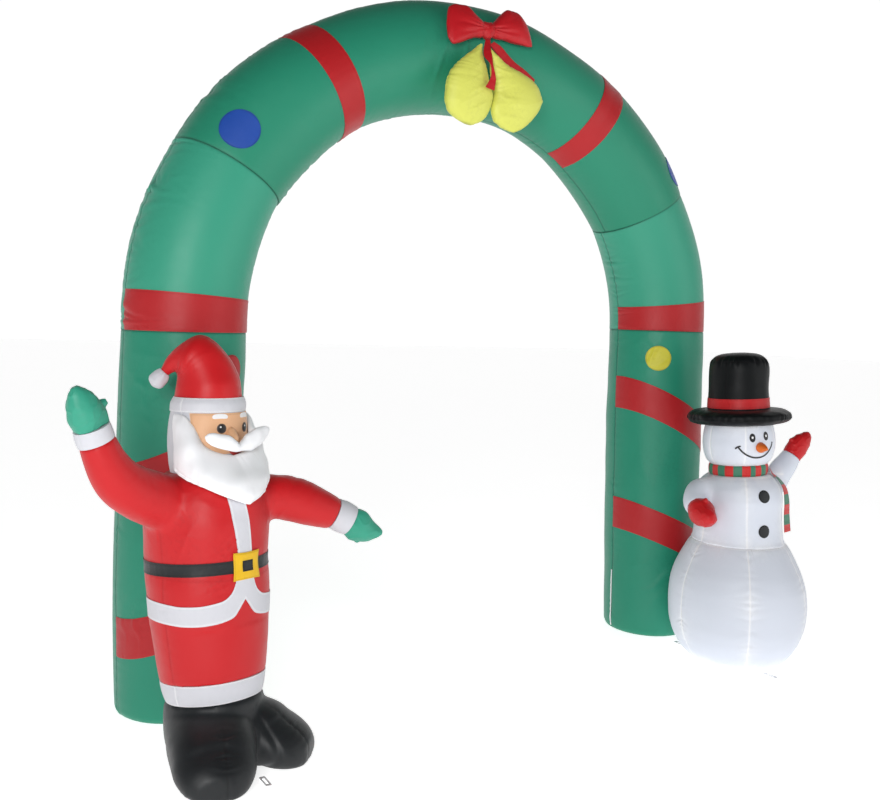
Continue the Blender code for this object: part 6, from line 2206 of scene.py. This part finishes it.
def world_ramp(tree, where, way, low, high):
    """A grey that runs from one level to another with the share of the look that goes one way."""
    dot = tree.nodes.new("ShaderNodeVectorMath")
    dot.operation = "DOT_PRODUCT"
    tree.links.new(where, dot.inputs[0])
    dot.inputs[1].default_value = way
    ramp = tree.nodes.new("ShaderNodeMapRange")
    ramp.interpolation_type = "SMOOTHSTEP"
    for spot, value in enumerate((low[0], high[0], low[1], high[1]), 1):
        ramp.inputs[spot].default_value = value
    tree.links.new(dot.outputs["Value"], ramp.inputs[0])
    return ramp.outputs[0]


def set_stage():
    """Pale floor, soft light from the front and the camera at the photograph's angle."""
    studio = bpy.context.scene.arch_studio
    mesh = bpy.data.meshes.new("floor")
    corners = [(x * FLOOR_HALF, y * FLOOR_HALF, FLOOR_LEVEL) for x, y in ((-1, -1), (1, -1), (1, 1), (-1, 1))]
    mesh.from_pydata(corners, [], [(0, 1, 2, 3)])
    floor = placed("floor", mesh)
    mesh.materials.append(material("pale floor"))

    bpy.context.scene.view_settings.view_transform = "Standard"
    world = bpy.data.worlds.new("studio")
    world.use_nodes = True
    bpy.context.scene.world = world
    tree = world.node_tree
    ahead = Vector((sin(EYE_YAW), cos(EYE_YAW), 0))
    where = tree.nodes.new("ShaderNodeTexCoord").outputs["Generated"]
    backdrop = world_ramp(tree, where, ahead, (0.05, studio.room), (0.72, 1.0))
    ceiling = world_ramp(tree, where, Vector((0, 0, 1)), (0.42, 1.0), (0.72, studio.ceiling))
    both = tree.nodes.new("ShaderNodeMath")
    both.operation = "MULTIPLY"
    tree.links.new(backdrop, both.inputs[0])
    tree.links.new(ceiling, both.inputs[1])
    tree.links.new(both.outputs[0], tree.nodes["Background"].inputs[0])
    tree.nodes["Background"].inputs[1].default_value = studio.sky

    target = Vector((0, 0, 1.1))
    for name, at, power, size in (
        ("key", KEY_AT, studio.key_power, 1.9),
        ("fill", FILL_AT, studio.fill_power, 2.6),
    ):
        light = bpy.data.lights.new(name, "AREA")
        light.energy, light.size = power, size
        lamp = placed(name, light)
        lamp.location = at
        lamp.rotation_euler = (target - Vector(at)).to_track_quat("-Z", "Y").to_euler()

    level = Vector((cos(EYE_YAW), -sin(EYE_YAW), 0))
    up = Vector((0, 0, 1))
    right = level * cos(EYE_ROLL) + up * sin(EYE_ROLL)
    top = up * cos(EYE_ROLL) - level * sin(EYE_ROLL)
    data = bpy.data.cameras.new("camera")
    data.lens, data.sensor_width, data.shift_y = studio.lens, 36.0, EYE_SHIFT
    camera = placed("camera", data)
    turn = Matrix((right, top, -ahead)).transposed().to_4x4()
    camera.matrix_world = Matrix.Translation(EYE) @ turn
    bpy.context.scene.camera = camera


# ---------------------------------------------------------------- operators and panel

class INFLATABLE_ARCH_OT_stage(bpy.types.Operator):
    """Sets the floor, the lights and the camera"""

    bl_idname = "inflatable_arch.stage"
    bl_label = "Studio"

    def execute(self, context):
        set_stage()
        return {"FINISHED"}


class INFLATABLE_ARCH_OT_tube(bpy.types.Operator):
    """Sews both legs, both haunches and the crown"""

    bl_idname = "inflatable_arch.tube"
    bl_label = "Arch tube"

    def execute(self, context):
        sew_tube()
        return {"FINISHED"}


class INFLATABLE_ARCH_OT_bands(bpy.types.Operator):
    """Sews the eight red bands on the tube"""

    bl_idname = "inflatable_arch.bands"
    bl_label = "Red bands"

    def execute(self, context):
        sew_bands()
        return {"FINISHED"}


class INFLATABLE_ARCH_OT_dots(bpy.types.Operator):
    """Sews the round patches and the zip strip on the tube"""

    bl_idname = "inflatable_arch.dots"
    bl_label = "Round patches"

    def execute(self, context):
        sew_dots()
        return {"FINISHED"}


class INFLATABLE_ARCH_OT_bow(bpy.types.Operator):
    """Stuffs the bow and hangs its two ribbons"""

    bl_idname = "inflatable_arch.bow"
    bl_label = "Bow and ribbons"

    def execute(self, context):
        sew_bow()
        sew_ribbons()
        return {"FINISHED"}


class INFLATABLE_ARCH_OT_bells(bpy.types.Operator):
    """Stuffs both bells"""

    bl_idname = "inflatable_arch.bells"
    bl_label = "Bells"

    def execute(self, context):
        sew_bells()
        return {"FINISHED"}


class INFLATABLE_ARCH_OT_suit(bpy.types.Operator):
    """Sews the trousers, coat and sleeves, white trim, belt and buckle"""

    bl_idname = "inflatable_arch.suit"
    bl_label = "Father Christmas: suit"

    def execute(self, context):
        sew_suit()
        return {"FINISHED"}


class INFLATABLE_ARCH_OT_boots(bpy.types.Operator):
    """Stuffs the boots"""

    bl_idname = "inflatable_arch.boots"
    bl_label = "Father Christmas: boots"

    def execute(self, context):
        sew_boots()
        return {"FINISHED"}


class INFLATABLE_ARCH_OT_head(bpy.types.Operator):
    """Sews the head with its face, beard and moustache"""

    bl_idname = "inflatable_arch.head"
    bl_label = "Father Christmas: head and beard"

    def execute(self, context):
        sew_head()
        sew_beard()
        return {"FINISHED"}


class INFLATABLE_ARCH_OT_hat(bpy.types.Operator):
    """Sews the hat with its band and its white end"""

    bl_idname = "inflatable_arch.hat"
    bl_label = "Father Christmas: hat"

    def execute(self, context):
        sew_hat()
        return {"FINISHED"}


class INFLATABLE_ARCH_OT_arms(bpy.types.Operator):
    """Sews both cuffs and stuffs both mittens"""

    bl_idname = "inflatable_arch.arms"
    bl_label = "Father Christmas: cuffs and mittens"

    def execute(self, context):
        sew_santa_arms()
        return {"FINISHED"}


class INFLATABLE_ARCH_OT_snowman(bpy.types.Operator):
    """Sews the snowman's base, torso with sleeves and head, with the face and the buttons"""

    bl_idname = "inflatable_arch.snowman"
    bl_label = "Snowman: body and face"

    def execute(self, context):
        sew_snowman()
        sew_snowman_face()
        return {"FINISHED"}


class INFLATABLE_ARCH_OT_snowman_arms(bpy.types.Operator):
    """Stuffs both of the snowman's mittens"""

    bl_idname = "inflatable_arch.snowman_arms"
    bl_label = "Snowman: mittens"

    def execute(self, context):
        sew_snowman_arms()
        return {"FINISHED"}


class INFLATABLE_ARCH_OT_snowman_hat(bpy.types.Operator):
    """Sews the snowman's brimmed hat and its ribbon"""

    bl_idname = "inflatable_arch.snowman_hat"
    bl_label = "Snowman: hat"

    def execute(self, context):
        sew_snowman_hat()
        return {"FINISHED"}


class INFLATABLE_ARCH_OT_scarf(bpy.types.Operator):
    """Sews the snowman's scarf and its hanging end"""

    bl_idname = "inflatable_arch.scarf"
    bl_label = "Snowman: scarf"

    def execute(self, context):
        sew_scarf()
        return {"FINISHED"}


class INFLATABLE_ARCH_OT_ties(bpy.types.Operator):
    """Lays the tie loops on the floor"""

    bl_idname = "inflatable_arch.ties"
    bl_label = "Tie loops"

    def execute(self, context):
        sew_ties()
        return {"FINISHED"}


OPERATORS = (
    INFLATABLE_ARCH_OT_stage,
    INFLATABLE_ARCH_OT_tube,
    INFLATABLE_ARCH_OT_bands,
    INFLATABLE_ARCH_OT_dots,
    INFLATABLE_ARCH_OT_bow,
    INFLATABLE_ARCH_OT_bells,
    INFLATABLE_ARCH_OT_suit,
    INFLATABLE_ARCH_OT_boots,
    INFLATABLE_ARCH_OT_head,
    INFLATABLE_ARCH_OT_hat,
    INFLATABLE_ARCH_OT_arms,
    INFLATABLE_ARCH_OT_snowman,
    INFLATABLE_ARCH_OT_snowman_arms,
    INFLATABLE_ARCH_OT_snowman_hat,
    INFLATABLE_ARCH_OT_scarf,
    INFLATABLE_ARCH_OT_ties,
)


class INFLATABLE_ARCH_PT_panel(bpy.types.Panel):
    """Sizes, colours and pieces of the inflatable arch"""

    bl_label = "Inflatable arch"
    bl_idname = "INFLATABLE_ARCH_PT_panel"
    bl_space_type = "VIEW_3D"
    bl_region_type = "UI"
    bl_category = "Inflatable arch"

    def draw(self, context):
        for title, group in (
            ("Sizes", context.scene.arch_sizes),
            ("Colours", context.scene.arch_colours),
            ("Studio", context.scene.arch_studio),
        ):
            box = self.layout.box()
            box.label(text=title)
            for name in group.__annotations__:
                box.prop(group, name)
        box = self.layout.box()
        box.label(text="Pieces")
        for operator in OPERATORS:
            box.operator(operator.bl_idname)


CLASSES = (ArchSizes, ArchColours, ArchStudio, *OPERATORS, INFLATABLE_ARCH_PT_panel)


def register():
    for item in CLASSES:
        bpy.utils.register_class(item)
    bpy.types.Scene.arch_sizes = PointerProperty(type=ArchSizes)
    bpy.types.Scene.arch_colours = PointerProperty(type=ArchColours)
    bpy.types.Scene.arch_studio = PointerProperty(type=ArchStudio)


def unregister():
    del bpy.types.Scene.arch_studio
    del bpy.types.Scene.arch_colours
    del bpy.types.Scene.arch_sizes
    for item in reversed(CLASSES):
        bpy.utils.unregister_class(item)


def main():
    register()
    for operator in OPERATORS:
        group, name = operator.bl_idname.split(".")
        getattr(getattr(bpy.ops, group), name)()


if __name__ == "__main__":
    main()
